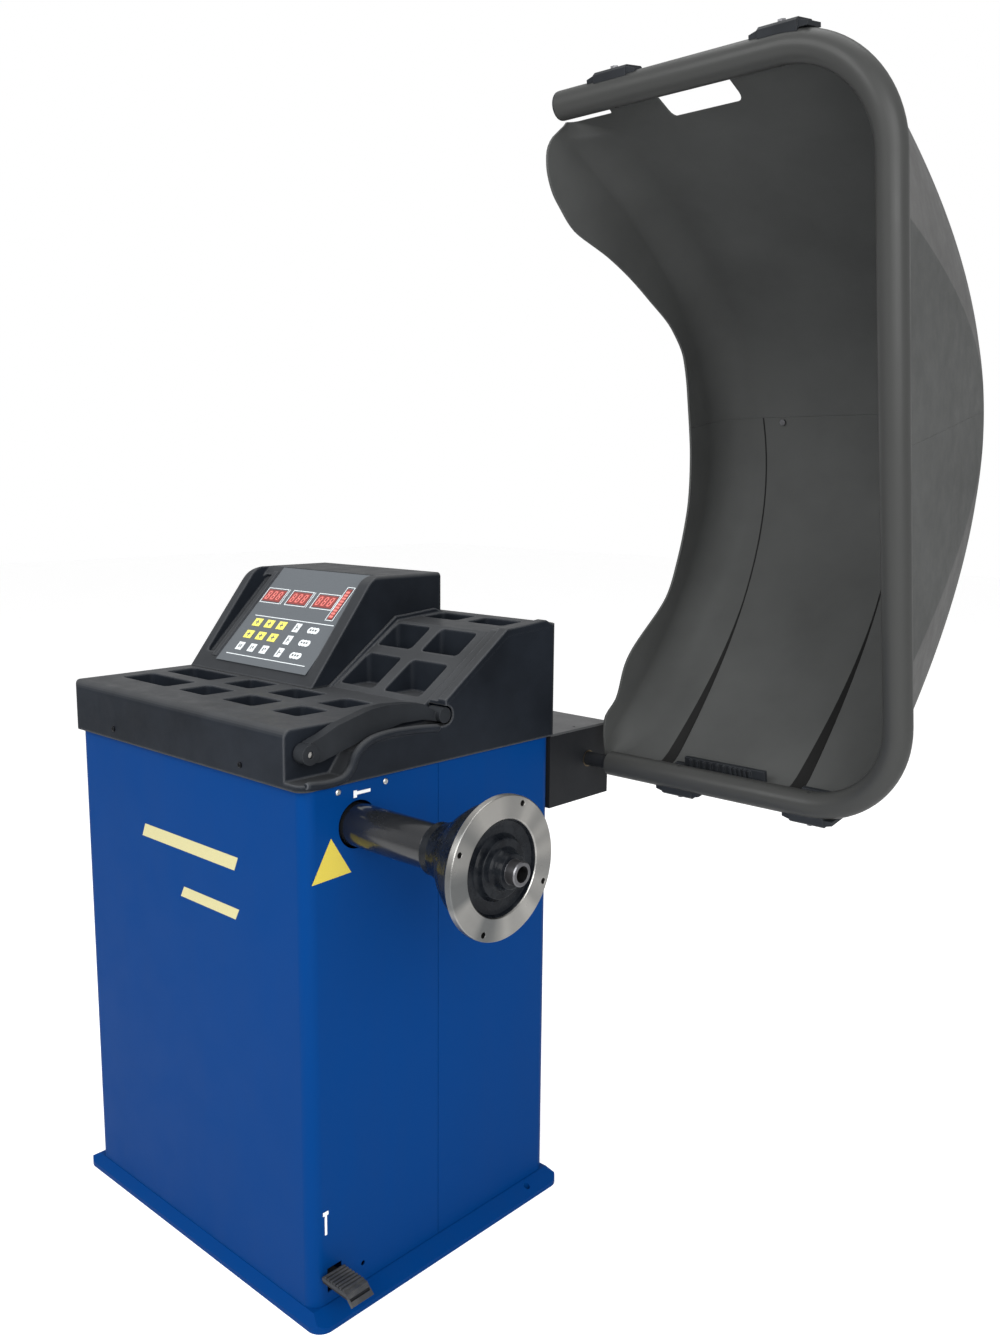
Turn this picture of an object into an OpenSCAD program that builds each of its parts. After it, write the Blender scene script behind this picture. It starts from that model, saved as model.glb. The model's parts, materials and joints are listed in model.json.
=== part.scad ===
// Wheel balancer with a swinging wheel hood, a gauge arm and a foot brake.
// Origin: centre of the base footprint on the floor.
// +X runs along the spindle towards the wheel, -Y faces the operator, +Z is up.

/* [Base] */
// Width of the base pan, along the spindle
base_w = 681; // [660:1:700]
// Depth of the base pan, front to back
base_d = 560; // [548:1:580]
// Height of the pan's outer edge
base_edge = 8; // [6:1:10]
// Height of the pan where the covers stand
base_rise = 24; // [20:1:28]
// Radius of the four floor anchor holes
anchor_r = 5.5; // [4:0.5:6]

/* [Cabinet] */
// Width of the sheet steel covers
cab_w = 626; // [620:1:628]
// Depth of the sheet steel covers
cab_d = 536; // [530:1:540]
// Sheet thickness of the covers
sheet = 2; // [1.5:0.5:2]
// Bend radius of the covers' upright corners
bend_r = 22; // [18:1:24]
// Place of the seam between the two covers
seam_y = -5; // [-15:1:5]

/* [Tray] */
// Width of the moulded tray
tray_w = 636; // [634:1:640]
// Depth of the moulded tray
tray_d = 554; // [552:1:560]
// Height of the skirt's lower edge
skirt_z = 832; // [828:1:836]
// Height of the flat part of the tray
tray_z = 917; // [916:1:919]
// Height of the riser's front top edge
riser_z = 1018; // [1014:1:1022]
// Wall thickness of the mouldings
wall = 3; // [3:0.5:4]

/* [Console] */
// Right-hand edge of the console at its foot
console_x = 46; // [44:1:46]
// Height of the console's top
console_z = 1097; // [1092:1:1102]

/* [Spindle] */
// Spindle axis, front to back
spindle_y = -170; // [-172:1:-168]
// Spindle axis above the floor
spindle_z = 766; // [764:1:768]
// Outer radius of the spindle housing
housing_r = 32.5; // [31:0.5:34]
// Outer radius of the wheel flange
flange_r = 98; // [94:1:102]
// Radius on which the flange's four holes lie
flange_hole_pitch_r = 89; // [86:1:90]
// Plane of the flange's machined face
flange_x = 602.5; // [602:0.5:603]
// Outer radius of the hollow spindle nose
nose_r = 17; // [16:0.5:18]
// Bore radius of the spindle nose
nose_bore_r = 11; // [10:0.5:12]

/* [Hood] */
// Hood hinge axis, front to back
hinge_y = 376; // [374:1:380]
// Hood hinge axis above the floor
hinge_z = 772; // [770:1:774]
// Angle by which the open hood leans back
hood_lean = 9.5; // [8:0.5:10]
// Outer radius of the hood's tube frame
tube_r = 21.2; // [20:0.2:22]
// Distance between the frame's two level runs
frame_h = 1070; // [1060:1:1080]
// Depth of the hood behind its frame
hood_depth = 472; // [460:1:480]

/* [Hidden] */
$fn = 64;
eps = 0.01;
slip = 0.02;
run = 0.05;
blue = [0.03, 0.25, 0.62];
black = [0.07, 0.07, 0.08];
dark = [0.16, 0.17, 0.18];
steel = [0.66, 0.66, 0.65];

// Base and covers
base_corner_r = 25;
anchor_inset = 15.5;
anchor_y = 205;
cover_top = skirt_z + 28;
cover_in_x = cab_w / 2 - sheet;
cover_in_y = cab_d / 2 - sheet;
seam_gap = 1;
screw_r = 2.4;
screw_hole_r = 2.6;
screw_z = skirt_z - 11;
side_screw_y = [-207, -116];
skirt_screw_x = [-183, 175];
skirt_screw_z = skirt_z + 18;
spindle_hole_r = housing_r + 4;
side_hole_r = 4;
inlet_w = 48;
inlet_h = 60;
inlet_x = -230;
inlet_z = 130;
rocker_tilt = 8;

// Inner frame
tube = 20;
post_x = cover_in_x - tube;
post_y = cover_in_y - tube;
ring_z = 806;
shelf_z = 675;
shelf_t = 6;
shelf_back = 20;
guide_rail_y = 7;
strap_w = 40;

// Gauge
gauge_y = 7;
gauge_z = 904;
gauge_rod_r = 7.5;
gauge_guide_x = [[-20, 44], [257, 276]];
gauge_head_y = -250;
gauge_head_z = 882;
arm_x = [286, 308];
arm_knob_x = 316;

// Tray
tray_front = -tray_d / 2;
tray_back = tray_d / 2;
slope_y = 0;
riser_y = 150;
riser_back_z = riser_z + 8;
tray_edge_r = 14;
pocket_depth = 46;
pocket_r = 8;
rail_x = [[46.5, 52, 8], [278, 301, 4], [300, 330, 9]];
pocket_floor = tray_z - pocket_depth;
pocket_columns = [[-285, -146], [-108, -30], [17, 100], [148, 213]];
pocket_rows = [[-200, -138], [-112, -50]];
riser_columns = [[58, 143], [168, 254]];
riser_rows = [[11, 77], [95, 145], [204, 258]];
riser_floors = [gauge_z + 11.5, 950, 985];
recess_x = 280;
recess_floor = 842;

// Console: the rims of its face are steeper than the panel that lies between them
console_left = -312;
console_foot_y = -42;
console_rim_angle = 52;
console_face_y = console_foot_y + (console_z - tray_z) / tan(console_rim_angle);
panel_foot_y = -40;
panel_foot_z = tray_z + 8;
panel_angle = 45;
panel_bay_x = [-292, 19];
console_back = 262;
panel_x = [-246, 16];
panel_s = [14, 240];
console_bend_r = 40;
console_left_r = 26;
console_right_r = 8;
channel_x = [-292, -266];
channel_s = [30, 222];
channel_depth = 9;
inner_rim_x = [-262, -250];
panel_t = 1.5;
seat_gap = 0.3;
key_pitch_x = 36;
key_pitch_s = 28.5;

// Spindle train
housing_x = [30, 477];
seat_r = 26;
bearing_w = 15;
bearing_x = [40, 447];
seal_x = [[31, 38], [464, 471]];
shaft_r = 12.5;
shaft_tail_x = -130;
hub_start_x = 480;
nose_x = 636;
nose_bore_depth = 60;
nose_seat_r = nose_r + 0.6;
boss_end_x = flange_x + 18;
ball_r = 3.97;
ball_pitch_r = 19.25;
balls = 9;
inner_ring_r = 17.4;
outer_ring_r = 21.1;
pulley_x = [-72, -10];
pulley_r = 60;
belt_x = [-68, -42];
belt_t = 3;
belt_lap = 2;
belt_inset = 0.3;
encoder_x = -112;
encoder_r = 42;
encoder_t = 2;

// Motor
motor_y = -60;
motor_z = 560;
motor_r = 52;
motor_pulley_r = 20;
motor_shaft_r = 8;
motor_x = [12, 150];

// Hinge box
box_x = [150, 310];
box_y = [cab_d / 2 + 1, 433];
box_z = [700, 832];
box_t = 3;
box_bolt_x = [190, 270];
box_bolt_z = [720, 812];
hinge_shaft_r = 12.5;
hinge_shaft_end = 385;

// Hood frame and shells, in the frame's own plane: u is behind it and v is along it
frame_x = [361, 894];
frame_top_x = 372;
frame_bend_r = 150;
frame_t = 2.5;
shell_t = 4;
shell_left = 340;
shell_rim_u = 39;
shell_draft = 8;
shell_right = 893;
shell_front_u = 24;
band_x = 827;
band_slant = 12.13;
seam_lap = 20;
seam_step = 8;
seam_v = frame_h / 2 + 8;
cut_r = 425;
cut_u = -70;
clamp_top_x = [431, 703];
clamp_bottom_x = [465, 706];
clamp_w = 86;
clamp_end = 14;
clamp_t = 9;
notch_x = [505, 630];
seam_bolt_x = [459, 723];
seam_bolt_v = 9;
seam_bolt_gap = 1;

// Pedal and brake
pedal_pivot_x = 150;
pedal_z = 66;
pedal_arm_y = -226;
rod_x = -24;
brake_travel = 12.5;
spring_foot = 615;
rod_r = 6;
shoe_r = pulley_r + 0.4;

// ---------------------------------------------------------------- helpers

// Rectangle with rounded corners, centred on the origin
module rounded(w, d, r) {
    square([w - 2 * r, d], center = true);
    square([w, d - 2 * r], center = true);
    for (sx = [-1, 1], sy = [-1, 1])
        translate([sx * (w / 2 - r), sy * (d / 2 - r)]) circle(r = r);
}

// Box from its ranges along X, Y and Z
module block(x, y, z) {
    translate([x[0], y[0], z[0]])
        cube([x[1] - x[0], y[1] - y[0], z[1] - z[0]]);
}

// Cylinder along +X between two places
module rod(r, x) {
    translate([x[0], 0, 0]) rotate([0, 90, 0]) cylinder(r = r, h = x[1] - x[0]);
}

// Ring along +X
module ring(r_out, r_in, x) {
    difference() {
        rod(r_out, x);
        rod(r_in, [x[0] - 1, x[1] + 1]);
    }
}

// Solid turned about the X axis from [x, radius] points
module turned(points) {
    rotate([0, 90, 0])
        rotate_extrude()
            polygon([for (p = points) [p[1], p[0]]]);
}

// Prism along X from [y, z] points
module x_prism(points, x) {
    translate([x[0], 0, 0])
        rotate([90, 0, 90])
            linear_extrude(x[1] - x[0])
                polygon(points);
}

// Prism along Y from [x, z] points
module y_prism(points, y) {
    translate([0, y[1], 0]) rotate([90, 0, 0]) linear_extrude(y[1] - y[0]) polygon(points);
}

module at_spindle() {
    translate([0, spindle_y, spindle_z]) children();
}

module at_motor() {
    translate([0, motor_y, motor_z]) children();
}

module at_hood() {
    translate([0, hinge_y, hinge_z]) rotate([hood_lean, 0, 0]) children();
}

// Depth of the hood's back behind the frame, at a place v along the frame
function hood_back(v) =
    hood_depth - (hood_depth - shell_rim_u) * pow((v - frame_h / 2) / (frame_h / 2), 2);

// ---------------------------------------------------------------- base and covers

module base_plate() {
    top_w = cab_w + 4;
    top_d = cab_d + 2;
    well_w = cab_w - 16;
    well_d = cab_d - 16;
    color(blue)
        difference() {
            union() {
                linear_extrude(base_edge) rounded(base_w, base_d, base_corner_r);
                intersection() {
                    linear_extrude(base_rise) rounded(base_w, base_d, base_corner_r);
                    x_prism([[-base_d / 2, base_edge], [-top_d / 2, base_rise],
                             [top_d / 2, base_rise], [base_d / 2, base_edge]],
                            [-base_w / 2, base_w / 2]);
                    y_prism([[-base_w / 2, base_edge], [-top_w / 2, base_rise],
                             [top_w / 2, base_rise], [base_w / 2, base_edge]],
                            [-base_d / 2, base_d / 2]);
                }
            }
            translate([0, 0, base_edge]) linear_extrude(base_rise)
                rounded(well_w, well_d, 12);
            for (sx = [-1, 1], sy = [-1, 1])
                translate([sx * (base_w / 2 - anchor_inset), sy * anchor_y, -1])
                    cylinder(r = anchor_r, h = base_rise + 2);
        }
}

// Upright sheet wrapped round the cabinet's plan
module cover_sheet() {
    translate([0, 0, base_rise]) linear_extrude(cover_top - base_rise)
        difference() {
            rounded(cab_w, cab_d, bend_r);
            rounded(cab_w - 2 * sheet, cab_d - 2 * sheet, bend_r - sheet);
        }
}

module side_screw_holes() {
    for (y = side_screw_y, sx = [-1, 1])
        translate([sx * cab_w / 2, y, screw_z]) rod(screw_hole_r, [-8, 8]);
}

module front_cover() {
    color(blue)
        difference() {
            cover_sheet();
            block([-cab_w, cab_w], [seam_y - seam_gap / 2, cab_d], [0, cover_top + 1]);
            at_spindle() rod(spindle_hole_r, [cab_w / 2 - 10, cab_w / 2 + 10]);
            block([cab_w / 2 - 6, cab_w / 2 + 6], [-240, -212], [42, 82]);
            translate([cab_w / 2, -169, 55]) rod(side_hole_r, [-6, 6]);
            side_screw_holes();
            for (x = skirt_screw_x)
                translate([x, -cab_d / 2, skirt_screw_z]) rotate([90, 0, 0])
                    cylinder(r = screw_hole_r, h = 20, center = true);
            block([recess_x - wall - 2, cab_w], [-cab_d, -165],
                  [recess_floor - wall - 2, cover_top + 1]);
        }
}

module rear_cover() {
    color(blue)
        difference() {
            cover_sheet();
            block([-cab_w, cab_w], [-cab_d, seam_y + seam_gap / 2], [0, cover_top + 1]);
            side_screw_holes();
            block([inlet_x - inlet_w / 2, inlet_x + inlet_w / 2],
                  [cab_d / 2 - 10, cab_d / 2 + 5],
                  [inlet_z - inlet_h / 2, inlet_z + inlet_h / 2]);
            for (z = box_bolt_z, x = box_bolt_x)
                translate([x, cab_d / 2, z]) rotate([90, 0, 0])
                    cylinder(r = 4.2, h = 20, center = true);
            for (i = [0 : 9])
                block([150 - 60, 150 + 60], [cab_d / 2 - 10, cab_d / 2 + 5],
                      [300 + 14 * i, 304 + 14 * i]);
        }
}

module inner_frame() {
    color(dark)
        difference() {
            union() {
                for (sx = [-1, 1], sy = [-1, 1])
                    translate([sx * post_x, sy * post_y, (base_edge + ring_z + tube) / 2])
                        cube([tube, tube, ring_z + tube - base_edge], center = true);
                for (z = [ring_z, shelf_z - tube], sy = [-1, 1])
                    block([-post_x, post_x], [sy * post_y - tube / 2, sy * post_y + tube / 2],
                          [z, z + tube]);
                for (z = [ring_z, shelf_z - tube], sx = [-1, 1])
                    block(sx > 0 ? [post_x - tube / 2, cover_in_x - 0.5]
                                 : [0.5 - cover_in_x, tube / 2 - post_x],
                          [-post_y, post_y], [z, z + tube]);
                block([-post_x, post_x], [guide_rail_y - tube / 2, guide_rail_y + tube / 2],
                      [ring_z, ring_z + tube]);
                block([-post_x, post_x], [-post_y, shelf_back + 10],
                      [shelf_z - shelf_t, shelf_z]);
                block([-post_x, post_x], [shelf_back, shelf_back + tube],
                      [shelf_z - tube, shelf_z]);
                for (sx = [-1, 1])
                    block(sx > 0 ? [post_x + tube / 2 - 1, cover_in_x - 0.5]
                                 : [0.5 - cover_in_x, 1 - post_x - tube / 2],
                          [seam_y - strap_w / 2, seam_y + strap_w / 2],
                          [base_rise + 2, ring_z + tube]);
            }
            block([-78, -36], [-240, shelf_back - 5], [shelf_z - 30, shelf_z + 1]);
            translate([rod_x, spindle_y, shelf_z - 30]) cylinder(r = rod_r + run, h = 40);
            side_screw_holes();
        }
}

module cover_screws() {
    color(steel) {
        for (y = side_screw_y, sx = [-1, 1])
            translate([sx * (cab_w / 2 + eps), y, screw_z])
                rotate([0, sx * 90, 0]) pan_screw(7.5);
        for (x = skirt_screw_x)
            translate([x, tray_front - eps, skirt_screw_z]) rotate([90, 0, 0])
                pan_screw(13);
    }
}

// Pan-head screw along +Z, with its shank going down from z = 0
module pan_screw(shank) {
    difference() {
        union() {
            cylinder(r = 4.6, h = 1.4);
            translate([0, 0, 1.4]) cylinder(r1 = 4.6, r2 = 3, h = 1, $fn = 32);
            translate([0, 0, -shank]) cylinder(r = screw_r, h = shank + 0.5);
        }
        for (a = [0, 90])
            rotate([0, 0, a]) translate([-2.4, -0.5, 1.4]) cube([4.8, 1, 2]);
    }
}

// ---------------------------------------------------------------- tray

// Side profile of the tray, moved in by a distance t
function tray_profile(t) =
    [[tray_front + t, skirt_z - (t > 0 ? 1 : 0)],
     [tray_front + t, tray_z - tray_edge_r],
     for (a = [75 : -15 : 0])
         [tray_front + tray_edge_r - (tray_edge_r - t) * sin(a),
          tray_z - tray_edge_r + (tray_edge_r - t) * cos(a)],
     [slope_y, tray_z - t],
     [riser_y, riser_z - t],
     [tray_back - t, riser_back_z - t],
     [tray_back - t, skirt_z - (t > 0 ? 1 : 0)]];

// Void cut out of the tray's front right corner, where the gauge arm lies
module gauge_recess(t) {
    x_prism([[tray_front - 5, recess_floor - t],
             [-197, recess_floor - t],
             [-172 + t, 874 - t],
             [-150 + t, 888 - t],
             [gauge_y + t, 888 - t],
             [gauge_y + t, tray_z + 20],
             [tray_front - 5, tray_z + 20]],
            [recess_x - t, tray_w]);
}

// Pocket with rounded upright corners, open at the top
module pocket(x, y, floor_z, grow) {
    translate([(x[0] + x[1]) / 2, (y[0] + y[1]) / 2, floor_z - grow])
        linear_extrude(200)
            rounded(x[1] - x[0] + 2 * grow, y[1] - y[0] + 2 * grow, pocket_r + grow);
}

module all_pockets(grow) {
    for (x = pocket_columns, y = pocket_rows)
        pocket(x, y, pocket_floor, grow);
    for (x = riser_columns, i = [0 : 2])
        pocket(x, riser_rows[i], riser_floors[i], grow);
}

// Side profile of a rail that stands on the riser
function rail_profile(lift) =
    [[slope_y - lift, tray_z - 1], [slope_y - lift, tray_z],
     [riser_y - lift * 0.35, riser_z + lift], [riser_y + 20, riser_z + lift + 1],
     [tray_back - 34, riser_back_z + lift - 1], [tray_back - 14, riser_back_z - 1],
     [tray_back - 14, tray_z - 1]];

module weight_tray() {
    color(black)
        difference() {
            intersection() {
                union() {
                    x_prism(tray_profile(0), [-tray_w / 2, tray_w / 2]);
                    for (rail = rail_x)
                        difference() {
                            x_prism(rail_profile(rail[2]), [rail[0], rail[1]]);
                            all_pockets(0);
                            x_prism(tray_profile(wall / 2), [0, tray_w]);
                        }
                }
                linear_extrude(1200) rounded(tray_w, tray_d, 18);
            }
            difference() {
                intersection() {
                    x_prism(tray_profile(wall), [-tray_w / 2, tray_w / 2]);
                    linear_extrude(1200)
                        rounded(tray_w - 2 * wall, tray_d - 2 * wall, 18 - wall);
                }
                all_pockets(wall);
                gauge_recess(wall);
            }
            all_pockets(0);
            gauge_recess(0);
            translate([0, gauge_y, gauge_z]) rod(gauge_rod_r + 0.5, [recess_x - 20, tray_w]);
            translate([0, gauge_y, gauge_z]) rod(15, [recess_x - 1, tray_w]);
            block([console_left + 14, console_x - 24], [console_foot_y + 22, console_back - 20],
                  [tray_z - 30, console_z]);
            for (x = skirt_screw_x)
                translate([x, tray_front, skirt_screw_z]) rotate([90, 0, 0])
                    cylinder(r = screw_hole_r, h = 12, center = true);
        }
}

// ---------------------------------------------------------------- console

// Places children on the console's panel plane: x along the spindle, y up the slope
module on_slope() {
    translate([0, panel_foot_y, panel_foot_z]) rotate([panel_angle, 0, 0]) children();
}

// Side profile of the console, moved in by a distance t
function console_profile(t) =
    [[console_foot_y + 1.41 * t, tray_z + seat_gap - (t > 0 ? 1 : 0)],
     for (a = [console_rim_angle : -console_rim_angle / 6 : 0])
         [console_face_y + console_bend_r * tan(console_rim_angle / 2)
              - (console_bend_r - t) * sin(a),
          console_z - console_bend_r + (console_bend_r - t) * cos(a)],
     [console_back - t, console_z - t],
     [console_back - t, riser_back_z + seat_gap - (t > 0 ? 1 : 0)],
     [riser_y, riser_z + seat_gap - (t > 0 ? 1 : 0)],
     [slope_y, tray_z + seat_gap - (t > 0 ? 1 : 0)]];

// Bay between the rims, from the panel plane outwards, sunk by a distance t
module panel_bay(x, t) {
    on_slope() translate([x[0], -60, -t]) cube([x[1] - x[0], 420, 200]);
}

// Console's outline seen from the front, moved in by a distance t, as a prism along Y
module console_outline(t) {
    low = tray_z - 20;
    left_r = console_left_r;
    right_r = console_right_r;
    translate([0, console_back + 10, 0]) rotate([90, 0, 0]) linear_extrude(400) {
        translate([console_left + t, low])
            square([left_r - t + 1, console_z - left_r - low]);
        translate([console_left + left_r, low])
            square([console_x - right_r - console_left - left_r, console_z - t - low]);
        translate([console_x - right_r - 1, low])
            square([right_r - t + 1, console_z - right_r - low]);
        translate([console_left + left_r, console_z - left_r]) circle(r = left_r - t);
        translate([console_x - right_r, console_z - right_r]) circle(r = right_r - t);
    }
}

// Channel sunk in the face beside the panel
module side_channel(grow) {
    on_slope()
        translate([(channel_x[0] + channel_x[1]) / 2, (channel_s[0] + channel_s[1]) / 2,
                   -channel_depth - grow])
            linear_extrude(200)
                rounded(channel_x[1] - channel_x[0] + 2 * grow,
                        channel_s[1] - channel_s[0] + 2 * grow, pocket_r + grow);
}

module console_housing() {
    color(black)
        difference() {
            intersection() {
                x_prism(console_profile(0), [console_left, console_x]);
                console_outline(0);
            }
            panel_bay(panel_bay_x, 0);
            side_channel(0);
            difference() {
                intersection() {
                    x_prism(console_profile(wall), [console_left + wall, console_x - wall]);
                    console_outline(wall);
                }
                panel_bay([panel_bay_x[0] - wall, panel_bay_x[1] + wall], wall);
                side_channel(wall);
            }
            on_slope()
                translate([panel_x[0] + 12, panel_s[0] + 12, -10])
                    cube([panel_x[1] - panel_x[0] - 24, panel_s[1] - panel_s[0] - 24, 30]);
        }
    color(black)
        on_slope()
            translate([inner_rim_x[0], channel_s[0] - 10, -1])
                cube([inner_rim_x[1] - inner_rim_x[0], channel_s[1] - channel_s[0] + 16, 5]);
}

module display_panel() {
    color([0.38, 0.41, 0.44])
        on_slope()
            translate([panel_x[0], panel_s[0], eps])
                cube([panel_x[1] - panel_x[0], panel_s[1] - panel_s[0], panel_t]);
}

// Raised pieces of the panel's face lie on it
module on_panel() {
    on_slope() translate([0, 0, panel_t + 2 * eps]) children();
}

module led_windows() {
    color([0.55, 0.05, 0.06])
        on_panel() {
            for (i = [0 : 2])
                translate([-240 + 75 * i, 157, 0]) cube([54, 28, 0.8]);
            translate([-27, 134, 0]) cube([13, 70, 0.8]);
        }
}

module yellow_keys() {
    color([0.93, 0.85, 0.2])
        on_panel()
            for (i = [0 : 2], j = [0 : 1])
                translate([-204 + key_pitch_x * i - 11, 78 + key_pitch_s * j - 9, 0])
                    cube([22, 18, 0.8]);
}

module white_keys() {
    color([0.93, 0.94, 0.95])
        on_panel() {
            for (i = [0 : 2])
                translate([-204 + key_pitch_x * i - 9, 50 - 9, 0]) cube([18, 18, 0.8]);
            for (j = [0 : 2]) {
                translate([-87 - 8, 49.5 + key_pitch_s * j - 10, 0]) cube([16, 20, 0.8]);
                translate([-40, 49.5 + key_pitch_s * j - 1, 0])
                    linear_extrude(0.8)
                        for (dx = [-8, 0, 8]) translate([dx, 0]) circle(r = 7, $fn = 32);
            }
        }
}

module panel_lines() {
    color([0.93, 0.94, 0.95])
        on_panel() {
            translate([-226, 121, 0]) cube([228, 1.6, 0.3]);
            translate([-229, 30, 0]) cube([230, 1.6, 0.3]);
        }
}

module control_board() {
    color([0.05, 0.35, 0.15])
        on_slope()
            difference() {
                union() {
                    translate([-225, 34, -20]) cube([226, 190, 1.6]);
                    for (x = [-190, -130, -60])
                        translate([x, 60, -24]) cube([24, 60, 5]);
                    for (x = [-215, -10], s = [44, 214])
                        translate([x, s, -20]) cylinder(r = 5, h = 16);
                }
                for (x = [-215, -10], s = [44, 214])
                    translate([x, s, -30]) cylinder(r = 1.6, h = 40);
            }
}

// ---------------------------------------------------------------- electrics

module power_board() {
    color([0.05, 0.35, 0.15]) {
        block([-295, -292], [-120, 120], [380, 560]);
        for (z = [410, 470, 520])
            block([-292 - eps, -270], [-80, -40], [z - 14, z + 14]);
    }
}

module transformer() {
    color(dark)
        union() {
            block([-260, -170], [60, 160], [base_edge + eps, 90]);
            block([-240, -190], [45, 175], [base_edge + 16, 74]);
        }
}

module mains_inlet() {
    back = cab_d / 2;
    color(black)
        difference() {
            union() {
                block([inlet_x - inlet_w / 2 + 0.5, inlet_x + inlet_w / 2 - 0.5],
                      [back - 30, back + 2],
                      [inlet_z - inlet_h / 2 + 0.5, inlet_z + inlet_h / 2 - 0.5]);
                block([inlet_x - inlet_w / 2 - 5, inlet_x + inlet_w / 2 + 5],
                      [back + eps, back + 3],
                      [inlet_z - inlet_h / 2 - 5, inlet_z + inlet_h / 2 + 5]);
            }
            block([inlet_x - 15, inlet_x + 15], [back - 20, back + 5],
                  [inlet_z - 24, inlet_z - 2]);
            block([inlet_x - 11, inlet_x + 11], [back - 16, back + 5],
                  [inlet_z + 4, inlet_z + 26]);
        }
}

module mains_rocker() {
    back = cab_d / 2;
    color(black)
        translate([inlet_x, back - 5, inlet_z + 15]) rotate([-rocker_tilt, 0, 0])
            difference() {
                x_prism([[-5, -6.5], [4, -8.5], [9, -8.5], [7, 0], [9, 8.5], [4, 8.5],
                         [-5, 6.5]], [-9.5, 9.5]);
                rod(1.5, [-12, 12]);
            }
}

// ---------------------------------------------------------------- spindle

module spindle_housing() {
    color(black)
        at_spindle()
            difference() {
                rod(housing_r, housing_x);
                rod(22, [housing_x[0] - 1, housing_x[1] + 1]);
                rod(seat_r, [housing_x[0] - 1, bearing_x[0] + bearing_w + 0.5]);
                rod(seat_r, [bearing_x[1] - 0.5, housing_x[1] + 1]);
            }
}

module housing_bracket() {
    bottom = shelf_z + 12 - spindle_z;
    color(dark)
        at_spindle()
            difference() {
                union() {
                    block([70, 280], [-60, 60], [bottom, bottom + 8]);
                    for (x = [90, 230])
                        block([x, x + 30], [-46, 46], [bottom, 40]);
                    block([90, 260], [-5, 5], [bottom, -housing_r + 4]);
                }
                rod(housing_r + slip, [0, 400]);
            }
}

module pickup_sensors() {
    color(steel)
        for (x = [105, 245])
            translate([x, spindle_y, shelf_z + eps])
                difference() {
                    cylinder(r = 13, h = 12 - 2 * eps);
                    translate([0, 0, -1]) cylinder(r = 4.2, h = 14);
                }
}

module shaft_seals() {
    color(black)
        at_spindle() {
            for (x = seal_x)
                ring(seat_r - slip, shaft_r + run, x);
        }
}

module race_groove() {
    rotate([0, 90, 0])
        rotate_extrude() translate([ball_pitch_r, 0]) circle(r = ball_r + 0.06);
}

module bearing_outer_rings() {
    color(steel)
        at_spindle()
            for (x = bearing_x)
                translate([x, 0, 0]) difference() {
                    ring(seat_r - slip, outer_ring_r, [0, bearing_w]);
                    translate([bearing_w / 2, 0, 0]) race_groove();
                }
}

module bearing_inner_rings() {
    color(steel)
        at_spindle()
            for (x = bearing_x)
                translate([x, 0, 0]) difference() {
                    ring(inner_ring_r, shaft_r + slip, [0, bearing_w]);
                    translate([bearing_w / 2, 0, 0]) race_groove();
                }
}

module bearing_balls() {
    color(steel)
        at_spindle()
            for (x = bearing_x, i = [0 : balls - 1])
                translate([x + bearing_w / 2, 0, 0])
                    rotate([360 / balls * i, 0, 0])
                        translate([0, ball_pitch_r, 0]) sphere(r = ball_r, $fn = 32);
}

module spindle_shaft() {
    color(steel)
        at_spindle()
            difference() {
                turned([[shaft_tail_x, 0], [shaft_tail_x, 8], [-92, 8], [-92, shaft_r],
                        [hub_start_x - 7, shaft_r], [hub_start_x - 7, 15], [570, 15], [570, nose_seat_r],
                        [boss_end_x, nose_seat_r], [boss_end_x, nose_r],
                        [nose_x - 1.5, nose_r], [nose_x, nose_r - 1.5], [nose_x, 0]]);
                rod(nose_bore_r, [nose_x - nose_bore_depth, nose_x + 1]);
            }
}

// Wheel flange: collar and flared back, machined face, dished middle with a stepped boss
module wheel_flange() {
    face = flange_x;
    color(steel)
        at_spindle()
            difference() {
                turned([[hub_start_x, 0], [hub_start_x, 36], [hub_start_x + 2, 38],
                        [hub_start_x + 14, 38], [hub_start_x + 20, 41], [face - 82, 48],
                        [face - 71, 58], [face - 59, 68], [face - 42, 79], [face - 22, 88],
                        [face - 11, flange_r - 2], [face - 10, flange_r],
                        [face - 1, flange_r], [face, flange_r - 1], [face, 67],
                        [face - 2, 65], [face - 7, 63], [face - 9, 56], [face - 9, 46],
                        [face - 5, 43], [face + 1, 41], [face + 2, 39], [face + 2, 30],
                        [face + 6, 27], [face + 17, 24], [boss_end_x, 22], [boss_end_x, 0]]);
                rod(nose_seat_r + slip, [569, face + 20]);
                rod(15 + slip, [hub_start_x - 1, 571]);
                for (a = [65.5 : 90 : 336])
                    rotate([a, 0, 0]) translate([0, flange_hole_pitch_r, 0])
                        rod(4, [face - 14, face + 1]);
            }
}

module driven_pulley() {
    color(steel)
        at_spindle()
            difference() {
                union() {
                    ring(pulley_r, 48, pulley_x);
                    ring(pulley_r + 2, 48, [pulley_x[0], belt_x[0] - 0.5]);
                    ring(pulley_r + 2, 48, [belt_x[1] + 0.5, belt_x[1] + 3]);
                    ring(49, 20, [-48, -34]);
                    ring(22, shaft_r + slip, [-60, -18]);
                }
                for (i = [0 : 5])
                    rotate([60 * i, 0, 0]) translate([0, 35, 0]) rod(8, [-60, -20]);
            }
}

module encoder_disc() {
    color(steel)
        at_spindle()
            difference() {
                union() {
                    rod(encoder_r, [encoder_x, encoder_x + encoder_t]);
                    rod(14, [encoder_x - 6, encoder_x + 8]);
                }
                rod(8 + slip, [encoder_x - 10, encoder_x + 20]);
                for (i = [0 : 17])
                    rotate([20 * i, 0, 0]) translate([0, encoder_r - 6, 0])
                        rod(2, [encoder_x - 1, encoder_x + 4]);
            }
}

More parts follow.
